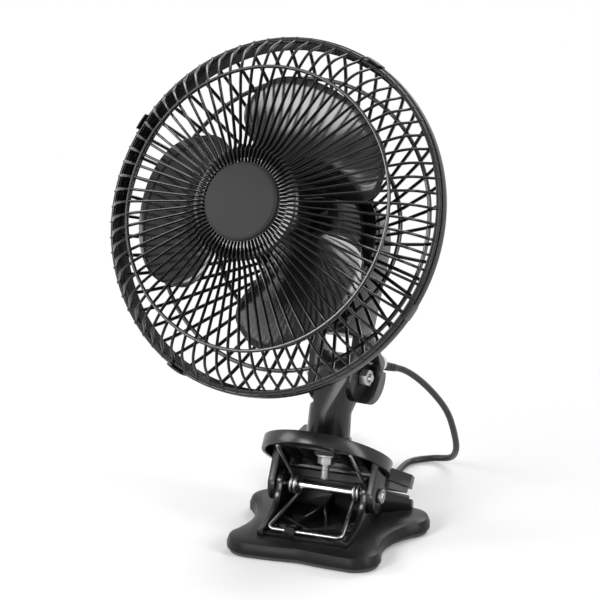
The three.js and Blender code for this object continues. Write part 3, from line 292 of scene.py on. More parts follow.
# %% [markdown]
# ## Strain relief
# Where the cord leaves the fork it passes a pale moulded bushing and a short black sleeve that
# thins towards the cord, so that the cord can't be bent sharply at the edge. Both are turned
# shapes, and a ring profile swept along the cord's own line gives them their steps and grooves.

# %% Bushing
def turned(name, line, profile, sides=32):
    """A body of rings along a line: profile is a list of (share of the line, radius in mm)."""
    total = path_length(line)
    runs = [0.0]
    for a, b in zip(line, line[1:]):
        runs.append(runs[-1] + (b - a).length)
    points, radii = [], []
    for share, radius in profile:
        at = share * total
        k = max(i for i in range(len(runs)) if runs[i] <= at + 1e-9)
        k = min(k, len(line) - 2)
        points.append(line[k].lerp(line[k + 1], (at - runs[k]) / (runs[k + 1] - runs[k])))
        radii.append(radius * MM)
    return sweep(name, points, radii, sides)


NECK_START, SEAT = 4.5, 10.9           # the neck in its hole and the bushing's seat, from the hinge
across, outlet, height = BUSHING_END
neck_line = [on_head(across, NECK_START, height), on_head(across, outlet, height)]
bushing_length = outlet - NECK_START


def neck_share(y):
    """Where a distance from the hinge lies on the neck's line, from 0 to 1."""
    return (y - NECK_START) / bushing_length


bushing = turned("cord_bushing_turned", neck_line, [
    (0, 2.2), (0.001, 2.5), (neck_share(SEAT - 0.02), 2.5), (neck_share(SEAT), 4.1),
    (neck_share(SEAT + 0.35), 4.5), (neck_share(12.9), 4.6), (neck_share(13.0), 4.2),
    (neck_share(13.5), 4.2), (neck_share(13.6), 4.6), (neck_share(16.5), 4.6),
    (neck_share(17.0), 4.35), (neck_share(17.3), 3.9), (1, 3.2)])
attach(bushing, "head")
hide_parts("cord_bushing")
print("bushing:", round(bushing_length, 1), "mm long")

# %% Sleeve
SLEEVE_RINGS, RING_FIRST, RING_STEP = 5, 0.12, 0.15    # places as shares of the sleeve
RING_RADIUS, RING_TAPER, GROOVE = 2.85, 0.14, 0.4      # in mm
sleeve_profile = [(0, 2.6), (0.02, 2.9)]
for ring in range(SLEEVE_RINGS):
    share = RING_FIRST + ring * RING_STEP
    radius = RING_RADIUS - RING_TAPER * ring
    sleeve_profile += [(share - 0.04, radius), (share - 0.03, radius - GROOVE),
                       (share + 0.03, radius - GROOVE - 0.02), (share + 0.04, radius - 0.06)]
sleeve_profile += [(0.95, 2.15), (1, 1.95)]
SLEEVE_OVERLAP = 0.2 * MM              # the sleeve starts this far inside the bushing
sleeve_line = [bushing_end - head_back * SLEEVE_OVERLAP] + drop[:SLEEVE + 1]
sleeve = turned("cord_sleeve", sleeve_line, sleeve_profile, 24)
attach(sleeve, "head")
print("strain relief:", round((path_length(sleeve_line) / MM) + bushing_length, 1), "mm long")

# %% [markdown]
# ## The guards
# Each guard is one moulding: thin bars with a ridged back that run out from the middle, joined by
# slim rings. The frame holds them as straight facets. Here they are made again on the same lines,
# with a curve through the same stations, so that the bars bend over the rim in a soft loop and
# carry a rounded section that catches the light. A bar is drawn once and turned round the fan's
# axis.

# %% Bars and rings
RIM_AHEAD, FAN_UP = 106.0, 67.0        # rim's plane and fan axis, in the head's frame
RIM_RADIUS = 98.0                      # in mm
BAR_TAPER = 0.32                       # how much narrower a bar is at its outer face
MOST_CUT = 0.45                        # the largest share of an edge that a rounding takes


def fan_point(radius, ahead, angle, aside=0.0):
    """A point by its radius, distance ahead of the rim's plane and angle, in mm and radians."""
    return on_head(-radius * math.cos(angle) + aside * math.sin(angle), -RIM_AHEAD - ahead,
                   FAN_UP + radius * math.sin(angle) + aside * math.cos(angle))


def add_bars(verts, faces, outer, inner, counts, bars, width, sides=8):
    """Bars between an outer and an inner line, narrower towards the outer one."""
    outer_line = spline([(r, y, 0) for r, y in outer], counts)
    inner_line = spline([(r, y, 0) for r, y in inner], counts)
    for n in range(bars):
        angle, first = 2 * math.pi * n / bars, len(verts)
        for o, i in zip(outer_line, inner_line):
            middle, half = (o + i) / 2, (o - i) / 2
            for k in range(sides):
                a = 2 * math.pi * (k + 0.5) / sides
                p = middle + half * math.sin(a)
                aside = width / 2 * math.cos(a) * (1 - BAR_TAPER * math.sin(a))
                verts.append(fan_point(p.x, p.y, angle, aside))
        for i in range(len(outer_line) - 1):
            for k in range(sides):
                a, b = first + i * sides + k, first + i * sides + (k + 1) % sides
                faces.append((a, b, b + sides, a + sides))
        last = first + (len(outer_line) - 1) * sides
        faces.append(tuple(range(first, first + sides))[::-1])
        faces.append(tuple(range(last, last + sides)))


def rounded(profile, size, cuts=3):
    """The closed profile with each corner cut back by a size and rounded."""
    out, count = [], len(profile)
    for i, corner in enumerate(profile):
        c = Vector((*corner, 0))
        before, after = Vector((*profile[i - 1], 0)), Vector((*profile[(i + 1) % count], 0))
        a = c + (before - c).normalized() * min(size, (before - c).length * MOST_CUT)
        b = c + (after - c).normalized() * min(size, (after - c).length * MOST_CUT)
        for k in range(cuts + 1):
            t = k / cuts
            out.append(tuple((a.lerp(c, t).lerp(c.lerp(b, t), t)).xy))
    return out


def add_ring(verts, faces, profile, segments=144):
    """A closed profile of (radius, ahead) turned round the fan's axis."""
    first, count = len(verts), len(profile)
    area = sum(a[0] * b[1] - b[0] * a[1] for a, b in zip(profile, profile[1:] + profile[:1]))
    if area > 0:
        profile = profile[::-1]
    for n in range(segments):
        for r, y in profile:
            verts.append(fan_point(r, y, 2 * math.pi * n / segments))
    for n in range(segments):
        m = (n + 1) % segments
        for k in range(count):
            q = (k + 1) % count
            faces.append((first + n * count + k, first + n * count + q,
                          first + m * count + q, first + m * count + k))


def oval(radius, ahead, half_wide, half_deep, steps=10):
    """A closed oval profile round a radius and a distance ahead."""
    return [(radius + half_wide * math.cos(2 * math.pi * k / steps),
             ahead + half_deep * math.sin(2 * math.pi * k / steps)) for k in range(steps)]


# %% [markdown]
# ## The front guard
# Seventy-two bars run from the seat of the hub cap to the rim. Close to the cap they pass a solid
# web, which shows as a dark ring, and further out they cross one slim ring. The stations below
# are the outer and the inner face of a bar, as (radius, ahead) in millimetres. An array modifier
# could repeat one bar as well, but it needs a helper object and leaves the rings to be made
# apart.

# %% Front guard
FRONT_BARS, FRONT_WIDTH = 72, 1.5
front_outer = [(20.4, 42.5), (22.6, 42.4), (29.4, 41.8), (32.8, 38.6), (54.4, 32.4), (76.0, 26.1),
               (77.8, 25.0), (88.2, 18.0), (95.6, 5.2), (97.3, 4.0), (98, 1.6)]
front_inner = [(20.4, 39.7), (22.0, 39.6), (28.6, 39.0), (31.7, 35.8), (53.6, 29.8), (75.6, 23.7),
               (77.4, 22.6), (87.0, 16.4), (94.7, 3.6), (95.7, 2.8), (95.9, 1.6)]
front_steps = [2, 2, 3, 3, 3, 2, 5, 7, 3, 2]
cap_seat = rounded([(13, 39.8), (13, 42.6), (21.6, 42.4), (21.6, 39.6)], 0.4)
web = rounded([(24.6, 38.4), (24.6, 40.1), (29.6, 39.7), (31.0, 37.9), (30.2, 37.0)], 0.3)
slim_ring = oval(77.0, 24.3, 1.0, 1.2)
front_rim = rounded([(94.9, 3.4), (95.4, 4.5), (96.9, 3.7), (97.45, 1.1), (95.7, 1.1)], 0.5)

verts, faces = [], []
add_bars(verts, faces, front_outer, front_inner, front_steps, FRONT_BARS, FRONT_WIDTH)
for ring in (cap_seat, web, slim_ring, front_rim):
    add_ring(verts, faces, ring)
front_guard = mesh_piece("front_guard_moulding", verts, faces)
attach(front_guard, "head")
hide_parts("front_guard")
print("front guard:", len(faces), "faces")

# %% [markdown]
# ## The rear guard
# The rear guard is deeper and coarser: fifty-four thicker bars run from a collar at the motor
# housing over two rings to a broad band at the rim. It is made in the same way as the front one,
# so only the stations and the rings differ.

# %% Rear guard
REAR_BARS, REAR_WIDTH = 54, 1.9
rear_outer = [(33.5, -54), (35.5, -54), (53, -43.6), (55.2, -42.2), (67.1, -33.3), (79, -24.4),
              (81.2, -22.6), (91.4, -12.6), (97.2, -4.6), (97.6, -1)]
rear_inner = [(33.5, -51.2), (35.8, -51.2), (53, -40.6), (55.2, -39.2), (66.7, -30.4),
              (78.2, -21.6), (80.2, -19.8), (89.8, -10.8), (95.8, -3), (96.2, -1)]
rear_steps = [1, 5, 1, 3, 3, 1, 4, 4, 2]
collar = rounded([(29.3, -54), (35.6, -54), (35.6, -51.2), (29.3, -51)], 0.5)
inner_ring = oval(54.1, -41.4, 1.2, 1.5)
outer_ring = oval(79.8, -22.1, 1.2, 1.4)
rim_band = rounded([(96, 0.5), (98, 0.5), (98, -4.0), (93.7, -9.4), (92.3, -8.3), (95.7, -3.6)],
                   0.45)

verts, faces = [], []
add_bars(verts, faces, rear_outer, rear_inner, rear_steps, REAR_BARS, REAR_WIDTH)
for ring in (collar, inner_ring, outer_ring, rim_band):
    add_ring(verts, faces, ring)
rear_guard = mesh_piece("rear_guard_moulding", verts, faces)
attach(rear_guard, "head")
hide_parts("rear_guard")
print("rear guard:", len(faces), "faces")

# %% [markdown]
# ## The rim's clips
# Four small clips hold the two guards together. On the real fan they lie close to the rim and
# hardly show in its outline, so each is a thin curved band with a hooked front edge. Its place is
# read from the frame's own clip, and its section is bent along the rim in a few steps.

# %% Rim clips
CLIP_HALF, CLIP_STEPS = 4.6, 8         # half its length along the rim, in mm, and its steps
CLIP_SEAT = 98.05                      # radius of its inner face
CLIP_SECTION = [(CLIP_SEAT, -3.4), (98.85, -3.2), (98.95, 3.2), (98.5, 4.6), (97.6, 5.2),
                (97.3, 4.6), (97.9, 4.2), (CLIP_SEAT, 2.0)]
CLIP_THINNING = 0.25                   # share of the thickness that is lost at the two ends


def rim_clip(name, node):
    """A hooked band that follows the rim, at the angle of the frame's clip."""
    corners = [Vector(v.co) for v in NODES[node].data.vertices]
    middle = head_frame.inverted() @ (sum(corners, Vector()) / len(corners)) / MM
    angle = math.atan2(middle.z - FAN_UP, -middle.x)
    section, verts, faces = rounded(CLIP_SECTION, 0.3, cuts=2), [], []
    count = len(section)
    for i in range(CLIP_STEPS + 1):
        share = 2 * i / CLIP_STEPS - 1
        for r, y in section:
            thinner = r - CLIP_THINNING * max(r - CLIP_SEAT, 0) * share ** 4
            verts.append(fan_point(thinner, y, angle + share * CLIP_HALF / RIM_RADIUS))
    for i in range(CLIP_STEPS):
        for k in range(count):
            q = (k + 1) % count
            faces.append((i * count + k, i * count + q, (i + 1) * count + q, (i + 1) * count + k))
    faces.append(tuple(range(count))[::-1])
    faces.append(tuple(range(CLIP_STEPS * count, (CLIP_STEPS + 1) * count)))
    piece = mesh_piece(name, verts, faces)
    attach(piece, "head")
    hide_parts(node)
    return piece


RIM_CLIPS = ["rim_clip_1", "rim_clip_2", "rim_clip_3", "rim_clip_4"]
rim_clips = [rim_clip(node + "_moulding", node) for node in RIM_CLIPS]
print(len(rim_clips), "rim clips")

# %% [markdown]
# ## The blades
# Three broad paddles on one hub, moulded in one piece. A paddle is a thin skin over a grid that
# runs from the hub to the tip and from the trailing edge to the leading one. Its height follows
# one formula for pitch and camber, its outline is rounded at the tip, and both faces are thinned
# towards the rim of the grid, so that every edge comes out soft. A plane with a thickness
# modifier could do it too, but its edges would be blunt. The hub is a turned profile.

# %% Blades
BLADE_FIRST = math.radians(66)         # the first blade, from the fan's side axis
BLADE_COUNT = 3
BLADE_ROOT, BLADE_TIP, BLADE_THICK = 13.5, 74.6, 1.7
HALF_ANGLE, HALF_GAIN, WIDEST_AT = 25, 25, 0.72     # half a blade's width, in degrees
TIP_ROUND, CORNER_ROUND = 0.16, 0.20   # how far the outline's corners are drawn in
MID_HEIGHT, PITCH, PITCH_LOSS = 9, 9.5, 1.5         # in mm; the pitch falls off to the tip
CAMBER, ROOT_CAMBER = 3, 0.4
EDGE_THICK, EDGE_WIDTH = 0.35, 0.09    # thickness share at the edge, and width of the thinning


def blade_point(across, out, face, angle):
    """across runs from -1 to 1 between the edges, out from 0 at the hub to 1 at the tip."""
    wider = math.sin(min(out, WIDEST_AT) / WIDEST_AT * math.pi / 2)
    half = math.radians(HALF_ANGLE + HALF_GAIN * wider)
    tip = 1 - TIP_ROUND * out * out * across ** 4
    radius = BLADE_ROOT + (BLADE_TIP - BLADE_ROOT) * out * tip
    sweep_angle = angle + half * across * (1 - CORNER_ROUND * out ** 6 * abs(across))
    height = (MID_HEIGHT + across * (PITCH - PITCH_LOSS * out)
              + CAMBER * (1 - across * across) * (ROOT_CAMBER + out))
    edge = min(1 - abs(across), (1 - out) * 1.2)
    thick = BLADE_THICK * (EDGE_THICK + (1 - EDGE_THICK) * min(1, edge / EDGE_WIDTH) ** 0.5)
    return fan_point(radius, height + face * thick / 2, math.pi - sweep_angle)


def add_blade(verts, faces, angle, rows=26, columns=34):
    """Both faces of one blade as grids, joined round their rim."""
    first, stride = len(verts), columns + 1
    for face in (1, -1):
        for i in range(rows + 1):
            for j in range(stride):
                verts.append(blade_point(2 * j / columns - 1, i / rows, face, angle))
    layer = (rows + 1) * stride
    for i in range(rows):
        for j in range(columns):
            a = first + i * stride + j
            faces.append((a, a + stride, a + stride + 1, a + 1))
            faces.append((a + layer, a + layer + 1, a + layer + stride + 1, a + layer + stride))
    rim = list(range(columns)) + [i * stride + columns for i in range(rows)]
    rim += [rows * stride + j for j in range(columns, 0, -1)]
    rim += [i * stride for i in range(rows, 0, -1)]
    for n, a in enumerate(rim):
        b = rim[(n + 1) % len(rim)]
        faces.append((first + a, first + b, first + b + layer, first + a + layer))


verts, faces = [], []
for n in range(BLADE_COUNT):
    add_blade(verts, faces, BLADE_FIRST + n * 2 * math.pi / BLADE_COUNT)
hub = [(1.9, -10), (4.6, -10), (4.6, 16), (12.8, 16), (12.8, -12), (15, -12), (15, 18), (13, 20),
       (1.9, 20)]
add_ring(verts, faces, rounded(hub, 0.6), 72)
blades = mesh_piece("blades_moulding", verts, faces)
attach(blades, "fan_rotor")
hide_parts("blades")
print("blades:", len(faces), "faces")

# %% [markdown]
# ## The clip's spring
# One piece of bright wire: a loop that lies on the lower jaw, a coil round the axle on each side,
# and two legs that press the upper jaw's plate. The line is worked out from the axle, as a spring
# maker would: each leg leaves its coil along the tangent. The wire bends when the clip opens, but
# here it is made as one fixed piece.

# %% Spring wire
WIRE = 1.9 * MM
COIL_RADIUS = 4.7 * MM
COIL_PITCH = 2.4 * MM
COIL_SIDE = 21.2 * MM
WHOLE_TURNS = 2
COIL_STEP = math.radians(9)
AXLE = Vector((0, 7, 27)) * MM
LOOP_BAR = Vector((0, -26.5, 13.4)) * MM
LOOP_HALF, LOOP_BEND, LEG_RISE = 21.0 * MM, 3.0 * MM, 0.9 * MM
PLATE_TILT = math.radians(37)
LEG_TIP = Vector((0, -34.025, 12.15)) * MM      # in the upper plate's frame
WIRE_SAME = 0.01 * MM                  # points of the wire closer than this count as one


def bearing(v):
    """The direction of a vector as an angle round the clip's axle."""
    return math.atan2(v.z, v.y)


def spring_half(side):
    """Lower leg's end, coil and upper leg's tip, for one side."""
    tip = Matrix.Rotation(-PLATE_TILT, 3, "X") @ LEG_TIP
    low = Vector((0, LOOP_BAR.y + LOOP_BEND - AXLE.y, LOOP_BAR.z + LEG_RISE - AXLE.z))
    start = bearing(low) + math.acos(COIL_RADIUS / math.hypot(low.y, low.z))
    stop = bearing(tip) - math.acos(COIL_RADIUS / math.hypot(tip.y, tip.z))
    swept = (stop - start) % (2 * math.pi) + WHOLE_TURNS * 2 * math.pi
    steps = round(swept / COIL_STEP)
    run = COIL_PITCH * swept / (2 * math.pi)
    points = []
    for i in range(steps + 1):
        a = start + swept * i / steps
        x = side * (COIL_SIDE - run * (1 - i / steps))
        points.append(AXLE + Vector((x, COIL_RADIUS * math.cos(a), COIL_RADIUS * math.sin(a))))
    return points + [AXLE + Vector((side * COIL_SIDE, tip.y, tip.z))]


def loop_corner(side, a):
    """A point of the loop's bend, from the bar at a right angle to the leg at 0."""
    return Vector((side * (LOOP_HALF - LOOP_BEND + LOOP_BEND * math.cos(a)),
                   LOOP_BAR.y + LOOP_BEND - LOOP_BEND * math.sin(a),
                   LOOP_BAR.z + LEG_RISE * (1 - math.sin(a))))


quarter = [math.pi / 2 * k / 6 for k in range(7)]
wire_line = (spring_half(-1)[::-1] + [loop_corner(-1, a) for a in quarter]
             + [loop_corner(1, a) for a in quarter[::-1]] + spring_half(1))
wire_line = [p for i, p in enumerate(wire_line)
             if i == 0 or (p - wire_line[i - 1]).length > WIRE_SAME]

TIP_SHARE = 0.15                       # the wire's radius at its very tip, as a share


def round_ends(line, radius, cap=4):
    """The line and a radius for each point, drawn in over the last radius of each end."""
    first, last = (line[1] - line[0]).normalized(), (line[-2] - line[-1]).normalized()
    quarter_turns = [math.pi / 2 * k / cap for k in range(cap)]

    def drawn_in(point, way, a):
        return point + way * radius * (1 - math.cos(a)), radius * max(math.sin(a), TIP_SHARE)

    start = [drawn_in(line[0], first, a) for a in quarter_turns]
    stop = [drawn_in(line[-1], last, a) for a in quarter_turns[::-1]]
    middle = [(line[0] + first * radius, radius)] + [(p, radius) for p in line[1:-1]]
    middle += [(line[-1] + last * radius, radius)]
    both = start + middle + stop
    return [p for p, _ in both], [r for _, r in both]


points, radii = round_ends(wire_line, WIRE / 2)
spring = sweep("spring_wire", points, radii, 14)
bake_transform(spring)
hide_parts("clip_spring")
print("spring wire:", round(path_length(wire_line), 3), "m long")

# %% [markdown]
# ## The swivel bolt's thread
# The swivel bolt ends in a thread under the plate. A fine helix round the bolt catches the light
# as a real thread does. The screw modifier could wind a profile too, but the sweep that made the
# cord needs only a line.

# %% Thread on the swivel bolt
STEM_LEAN = math.radians(14)
stem_up = Vector((0, math.sin(STEM_LEAN), math.cos(STEM_LEAN)))
hinge_at = Vector(JOINTS["stem_swivel"]["pos_m"])
THREAD_PITCH, THREAD_RADIUS = 0.8 * MM, 2.0 * MM
RIDGE_RADIUS = 0.3 * MM                # half the thickness of the wound ridge
THREAD_STEPS = 20                      # points in one turn


def thread(name, low, high, radius):
    """A helix round the stem's axis between two distances from the hinge, in mm."""
    side = stem_up.orthogonal().normalized()
    front = stem_up.cross(side)
    turns = (high - low) * MM / THREAD_PITCH
    steps = round(turns * THREAD_STEPS)
    line = []
    for i in range(steps + 1):
        a = 2 * math.pi * turns * i / steps
        line.append(hinge_at + stem_up * (low + (high - low) * i / steps) * MM
                    + (side * math.cos(a) + front * math.sin(a)) * radius)
    piece = sweep(name, line, RIDGE_RADIUS, 6)
    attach(piece, "stem")
    print(name, round(turns, 1), "turns")
    return piece


swivel_thread = thread("swivel_thread", -58.7, -50.8, THREAD_RADIUS)

# %% [markdown]
# ## Cross-head screws
# Two small screws close the housing at the back. Each is a low dome on a round grid, and the
# points that lie in the shape of a cross are pressed in. A boolean cut would give sharper walls,
# but at this size the pressed grid looks the same and stays one clean mesh.

# %% Cross-head screws
SCREW_RADIUS, SCREW_RISE = 2.6 * MM, 1.3 * MM
CROSS_HALF, CROSS_REACH, CROSS_DEPTH = 0.45 * MM, SCREW_RADIUS * 0.62, 0.7 * MM
CROSS_MIDDLE, SCREW_SINK = 0.5 * MM, 0.1 * MM


def screw(name, at, way, body):
    """A domed head with a pressed cross, seated at a point and facing one way."""
    side = way.orthogonal().normalized()
    front = way.cross(side)
    verts, faces, rings, spokes = [at + way * CROSS_MIDDLE], [], 9, 32
    for i in range(1, rings + 1):
        r = SCREW_RADIUS * min(i / (rings - 1), 1)
        for k in range(spokes):
            a = 2 * math.pi * k / spokes
            x, y = r * math.cos(a), r * math.sin(a)
            pressed = min(abs(x), abs(y)) < CROSS_HALF and r < CROSS_REACH
            rise = SCREW_RISE * math.sqrt(max(1 - (r / SCREW_RADIUS) ** 2 * 0.75, 0))
            if i == rings:
                rise = -SCREW_SINK
            verts.append(at + side * x + front * y + way * (rise - (CROSS_DEPTH if pressed else 0)))
    faces += [(0, 1 + k, 1 + (k + 1) % spokes) for k in range(spokes)]
    for i in range(rings - 1):
        for k in range(spokes):
            a, b = 1 + i * spokes + k, 1 + i * spokes + (k + 1) % spokes
            faces.append((a, a + spokes, b + spokes, b))
    last = 1 + (rings - 1) * spokes
    faces.append(tuple(last + k for k in range(spokes))[::-1])
    piece = mesh_piece(name, verts, faces)
    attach(piece, body)
    return piece


HOUSING_BACK = -15.0                   # the housing's back, in the head's frame
SCREW_ASIDE, SCREW_UP = 19.5, 27.0
screws = []
for label, x in (("left", -SCREW_ASIDE), ("right", SCREW_ASIDE)):
    seat = on_head(x, HOUSING_BACK + 0.1, SCREW_UP)
    screws.append(screw("housing_screw_" + label, seat, head_back, "head"))
print(len(screws), "screws")

# %% [markdown]
# ## Softened edges
# Moulded parts have no knife edges. The parts come as plain facets, so modifiers do the work and
# the parts themselves stay as they are: the doubled points are welded, flat regions become single
# faces, the edges that turn sharply get a small round, and what curves gently is shaded smooth.

# %% Smooth shading as a modifier
SMOOTH_UNDER = math.radians(35)        # edges that turn less are shaded as one surface


def smooth_shading_group():
    """Geometry nodes that shade every face smooth and keep the edges sharp that turn further."""
    group = bpy.data.node_groups.new("SmoothCurvedFaces", "GeometryNodeTree")
    group.interface.new_socket(name="Geometry", in_out="INPUT", socket_type="NodeSocketGeometry")
    limit = group.interface.new_socket(name="Angle", in_out="INPUT", socket_type="NodeSocketFloat")
    limit.default_value = SMOOTH_UNDER
    group.interface.new_socket(name="Geometry", in_out="OUTPUT", socket_type="NodeSocketGeometry")
    came = group.nodes.new("NodeGroupInput")
    gone = group.nodes.new("NodeGroupOutput")
    turn_of_edge = group.nodes.new("GeometryNodeInputMeshEdgeAngle")
    is_sharp = group.nodes.new("FunctionNodeCompare")
    is_sharp.operation = "GREATER_THAN"
    faces = group.nodes.new("GeometryNodeSetShadeSmooth")
    faces.domain = "FACE"
    edges = group.nodes.new("GeometryNodeSetShadeSmooth")
    edges.domain = "EDGE"
    edges.inputs["Shade Smooth"].default_value = False
    join = group.links.new
    join(turn_of_edge.outputs["Unsigned Angle"], is_sharp.inputs[0])
    join(came.outputs["Angle"], is_sharp.inputs[1])
    join(came.outputs["Geometry"], faces.inputs["Geometry"])
    join(faces.outputs["Geometry"], edges.inputs["Geometry"])
    join(is_sharp.outputs[0], edges.inputs["Selection"])
    join(edges.outputs["Geometry"], gone.inputs["Geometry"])
    return group


SMOOTH = smooth_shading_group()

# %% The modifiers and the edge rounds
WELD_WITHIN = 0.002 * MM
FLAT_WITHIN = math.radians(0.6)        # facets that turn less become one face
ROUND_OVER = math.radians(36)          # edges that turn more get a round
ROUND_SEGMENTS = 2


def soften(piece, round_mm):
    """Modifiers only: weld, flatten, round the sharp edges, shade the curves smooth."""
    weld = piece.modifiers.new("weld", "WELD")
    weld.merge_threshold = WELD_WITHIN
    if round_mm > 0:
        flat = piece.modifiers.new("flat", "DECIMATE")
        flat.decimate_type = "DISSOLVE"
        flat.angle_limit = FLAT_WITHIN
        edge = piece.modifiers.new("round", "BEVEL")
        edge.limit_method = "ANGLE"
        edge.angle_limit = ROUND_OVER
        edge.width = round_mm * MM
        edge.segments = ROUND_SEGMENTS
        edge.use_clamp_overlap = True
        edge.miter_outer = "MITER_ARC"
    shade = piece.modifiers.new("shade", "NODES")
    shade.node_group = SMOOTH
    shade[SMOOTH.interface.items_tree["Angle"].identifier] = SMOOTH_UNDER


ROUNDS = {                             # edge rounds, in millimetres
    "upper_jaw": 0.5, "lower_jaw": 0.35, "stem": 0.4, "motor_housing": 0.5, "motor_cover": 0.3,
    "foot_sole": 0.4, "lower_grip_pad": 0.35, "upper_grip_pad": 0.35, "plug_body": 1.2,
    "plug_pin_left": 0.3, "plug_pin_right": 0.3, "clip_axle": 0.3, "axle_cap_left": 0.35,
    "axle_cap_right": 0.35, "swivel_bolt": 0.3, "swivel_nut": 0.3, "swivel_washer": 0.15,
    "tilt_bolt": 0.25, "tilt_nut": 0.3, "badge_cap": 0.25, "switch_rocker": 0.4, "shaft": 0.2,
    "stator": 0.2, "motor_bracket": 0.2,
}
REPLACED = {"cord_lead", "cord_coil", "cord_tail", "cord_bushing", "clip_spring",
            "front_guard", "rear_guard", "blades", *RIM_CLIPS}
for name, piece in NODES.items():
    if name not in REPLACED:
        soften(piece, ROUNDS.get(name, 0))
print(len(ROUNDS), "parts with rounded edges")

# %% [markdown]
# ## The floor
# A plain pale floor that takes the fan's shadow and runs out to white. Far from the fan it is
# white for the camera, in mirrors and through clear parts, but not for light that bounces off it,
# so the white adds no light to the object. A plain white emitter would be simpler, and would
# light the underside.

# %% Floor
def new_material(name):
    material = bpy.data.materials.new(name)
    material.use_nodes = True
    tree = material.node_tree
    tree.nodes.clear()
    out = tree.nodes.new("ShaderNodeOutputMaterial")
    return material, tree, out


def shown_directly(tree):
    """1 for the camera, in mirrors and through clear parts, 0 for light that bounces about."""
    rays = tree.nodes.new("ShaderNodeLightPath")
    mirrored = tree.nodes.new("ShaderNodeMath")
    mirrored.operation = "MAXIMUM"
    shown = tree.nodes.new("ShaderNodeMath")
    shown.operation = "MAXIMUM"
    tree.links.new(rays.outputs["Is Glossy Ray"], mirrored.inputs[0])
    tree.links.new(rays.outputs["Is Transmission Ray"], mirrored.inputs[1])
    tree.links.new(rays.outputs["Is Camera Ray"], shown.inputs[0])
    tree.links.new(mirrored.outputs[0], shown.inputs[1])
    return shown.outputs[0]


SPREAD = 12.0                          # half the floor's width, in metres
FLOOR_DROP = 0.2 * MM                  # keeps the floor just clear of the sole
FADE_FROM, FADE_TO = 0.06, 0.30        # where the floor starts to run out to white, and ends
floor_mesh = bpy.data.meshes.new("floor")
floor_mesh.from_pydata(
    [(-SPREAD, -SPREAD, 0), (SPREAD, -SPREAD, 0), (SPREAD, SPREAD, 0), (-SPREAD, SPREAD, 0)],
    [], [(0, 1, 2, 3)])
floor = bpy.data.objects.new("floor", floor_mesh)
floor.location.z = -FLOOR_DROP
bpy.context.scene.collection.objects.link(floor)

material, tree, out = new_material("pale_floor")
card = tree.nodes.new("ShaderNodeBsdfDiffuse")
card.inputs["Color"].default_value = (0.96, 0.96, 0.96, 1)
white = tree.nodes.new("ShaderNodeEmission")
white.inputs["Color"].default_value = (1, 1, 1, 1)
place = tree.nodes.new("ShaderNodeTexCoord")
reach = tree.nodes.new("ShaderNodeVectorMath")
reach.operation = "LENGTH"
fade = tree.nodes.new("ShaderNodeMapRange")
fade.inputs["From Min"].default_value = FADE_FROM
fade.inputs["From Max"].default_value = FADE_TO
fade.interpolation_type = "SMOOTHSTEP"
share = tree.nodes.new("ShaderNodeMath")
share.operation = "MULTIPLY"
blend_floor = tree.nodes.new("ShaderNodeMixShader")
link = tree.links.new
link(place.outputs["Object"], reach.inputs[0])
link(reach.outputs["Value"], fade.inputs["Value"])
link(fade.outputs["Result"], share.inputs[0])
link(shown_directly(tree), share.inputs[1])
link(share.outputs[0], blend_floor.inputs["Fac"])
link(card.outputs[0], blend_floor.inputs[1])
link(white.outputs[0], blend_floor.inputs[2])
link(blend_floor.outputs[0], out.inputs["Surface"])
floor_mesh.materials.append(material)
print("floor", 2 * SPREAD, "m across")

# %% [markdown]
# ## Room and lamps
# Dark plastic shows its form only by what it mirrors, so each of the five soft lamps stands where
# one of the photograph's highlights looks: the key for the top blade, a low one in front for the
# stem and the clip, one on the left for the lowest blade and the cage's bars, a tall strip on the
# right for the motor housing and a lamp behind for the rims. The room gives a low even light, and
# its white backdrop is shown only directly, as the floor's is. A picture of a studio round the
# scene could do the same, but single lamps are easier to place.

# %% World and lamps
ROOM_LIGHT = 0.42
world = bpy.data.worlds.new("studio")
bpy.context.scene.world = world
world.use_nodes = True
tree = world.node_tree
tree.nodes.clear()
link = tree.links.new
out = tree.nodes.new("ShaderNodeOutputWorld")
room = tree.nodes.new("ShaderNodeBackground")
room.inputs["Color"].default_value = (1, 1, 1, 1)
room.inputs["Strength"].default_value = ROOM_LIGHT
backdrop = tree.nodes.new("ShaderNodeBackground")
backdrop.inputs["Color"].default_value = (1, 1, 1, 1)
backdrop.inputs["Strength"].default_value = 1.0
mixed = tree.nodes.new("ShaderNodeMixShader")
link(shown_directly(tree), mixed.inputs["Fac"])
link(room.outputs[0], mixed.inputs[1])
link(backdrop.outputs[0], mixed.inputs[2])
link(mixed.outputs[0], out.inputs["Surface"])


def softbox(name, at, size, power, aim=(0, 0, 0.14)):
    """A rectangular lamp at one place, turned towards another. Places in metres, power in watts."""
    lamp = bpy.data.lights.new(name, "AREA")
    lamp.shape = "RECTANGLE"
    lamp.size, lamp.size_y = size
    lamp.energy = power
    holder = bpy.data.objects.new(name, lamp)
    bpy.context.scene.collection.objects.link(holder)
    way = Vector(at) - Vector(aim)
    holder.matrix_world = Matrix.Translation(at) @ way.to_track_quat("Z", "Y").to_matrix().to_4x4()
    return holder


lamps = [
    softbox("key_light", (-0.60, -1.15, 0.88), (0.50, 0.36), 9, aim=(0, 0, 0.2)),
    softbox("low_front", (-0.26, -1.45, 0.27), (0.55, 0.26), 4, aim=(0, 0, 0.12)),
    softbox("left_light", (-1.22, -0.46, 0.66), (0.6, 0.6), 7, aim=(0, 0, 0.2)),
    softbox("right_strip", (1.15, -0.25, 0.5), (0.35, 1.1), 8),
    softbox("rear_light", (0.25, 1.15, 1.0), (1.2, 0.4), 9),
]
print(len(lamps), "lamps")

# %% [markdown]
# ## Finishes
# Every visible surface gets a procedural finish. What several finishes share is a node group with
# named inputs: the fine grain that a mould leaves, the paler look of a worn edge, and the dust
# that settles on faces that look up. Every material could carry its own copy of these nodes, but
# a group is built and mended in one place.

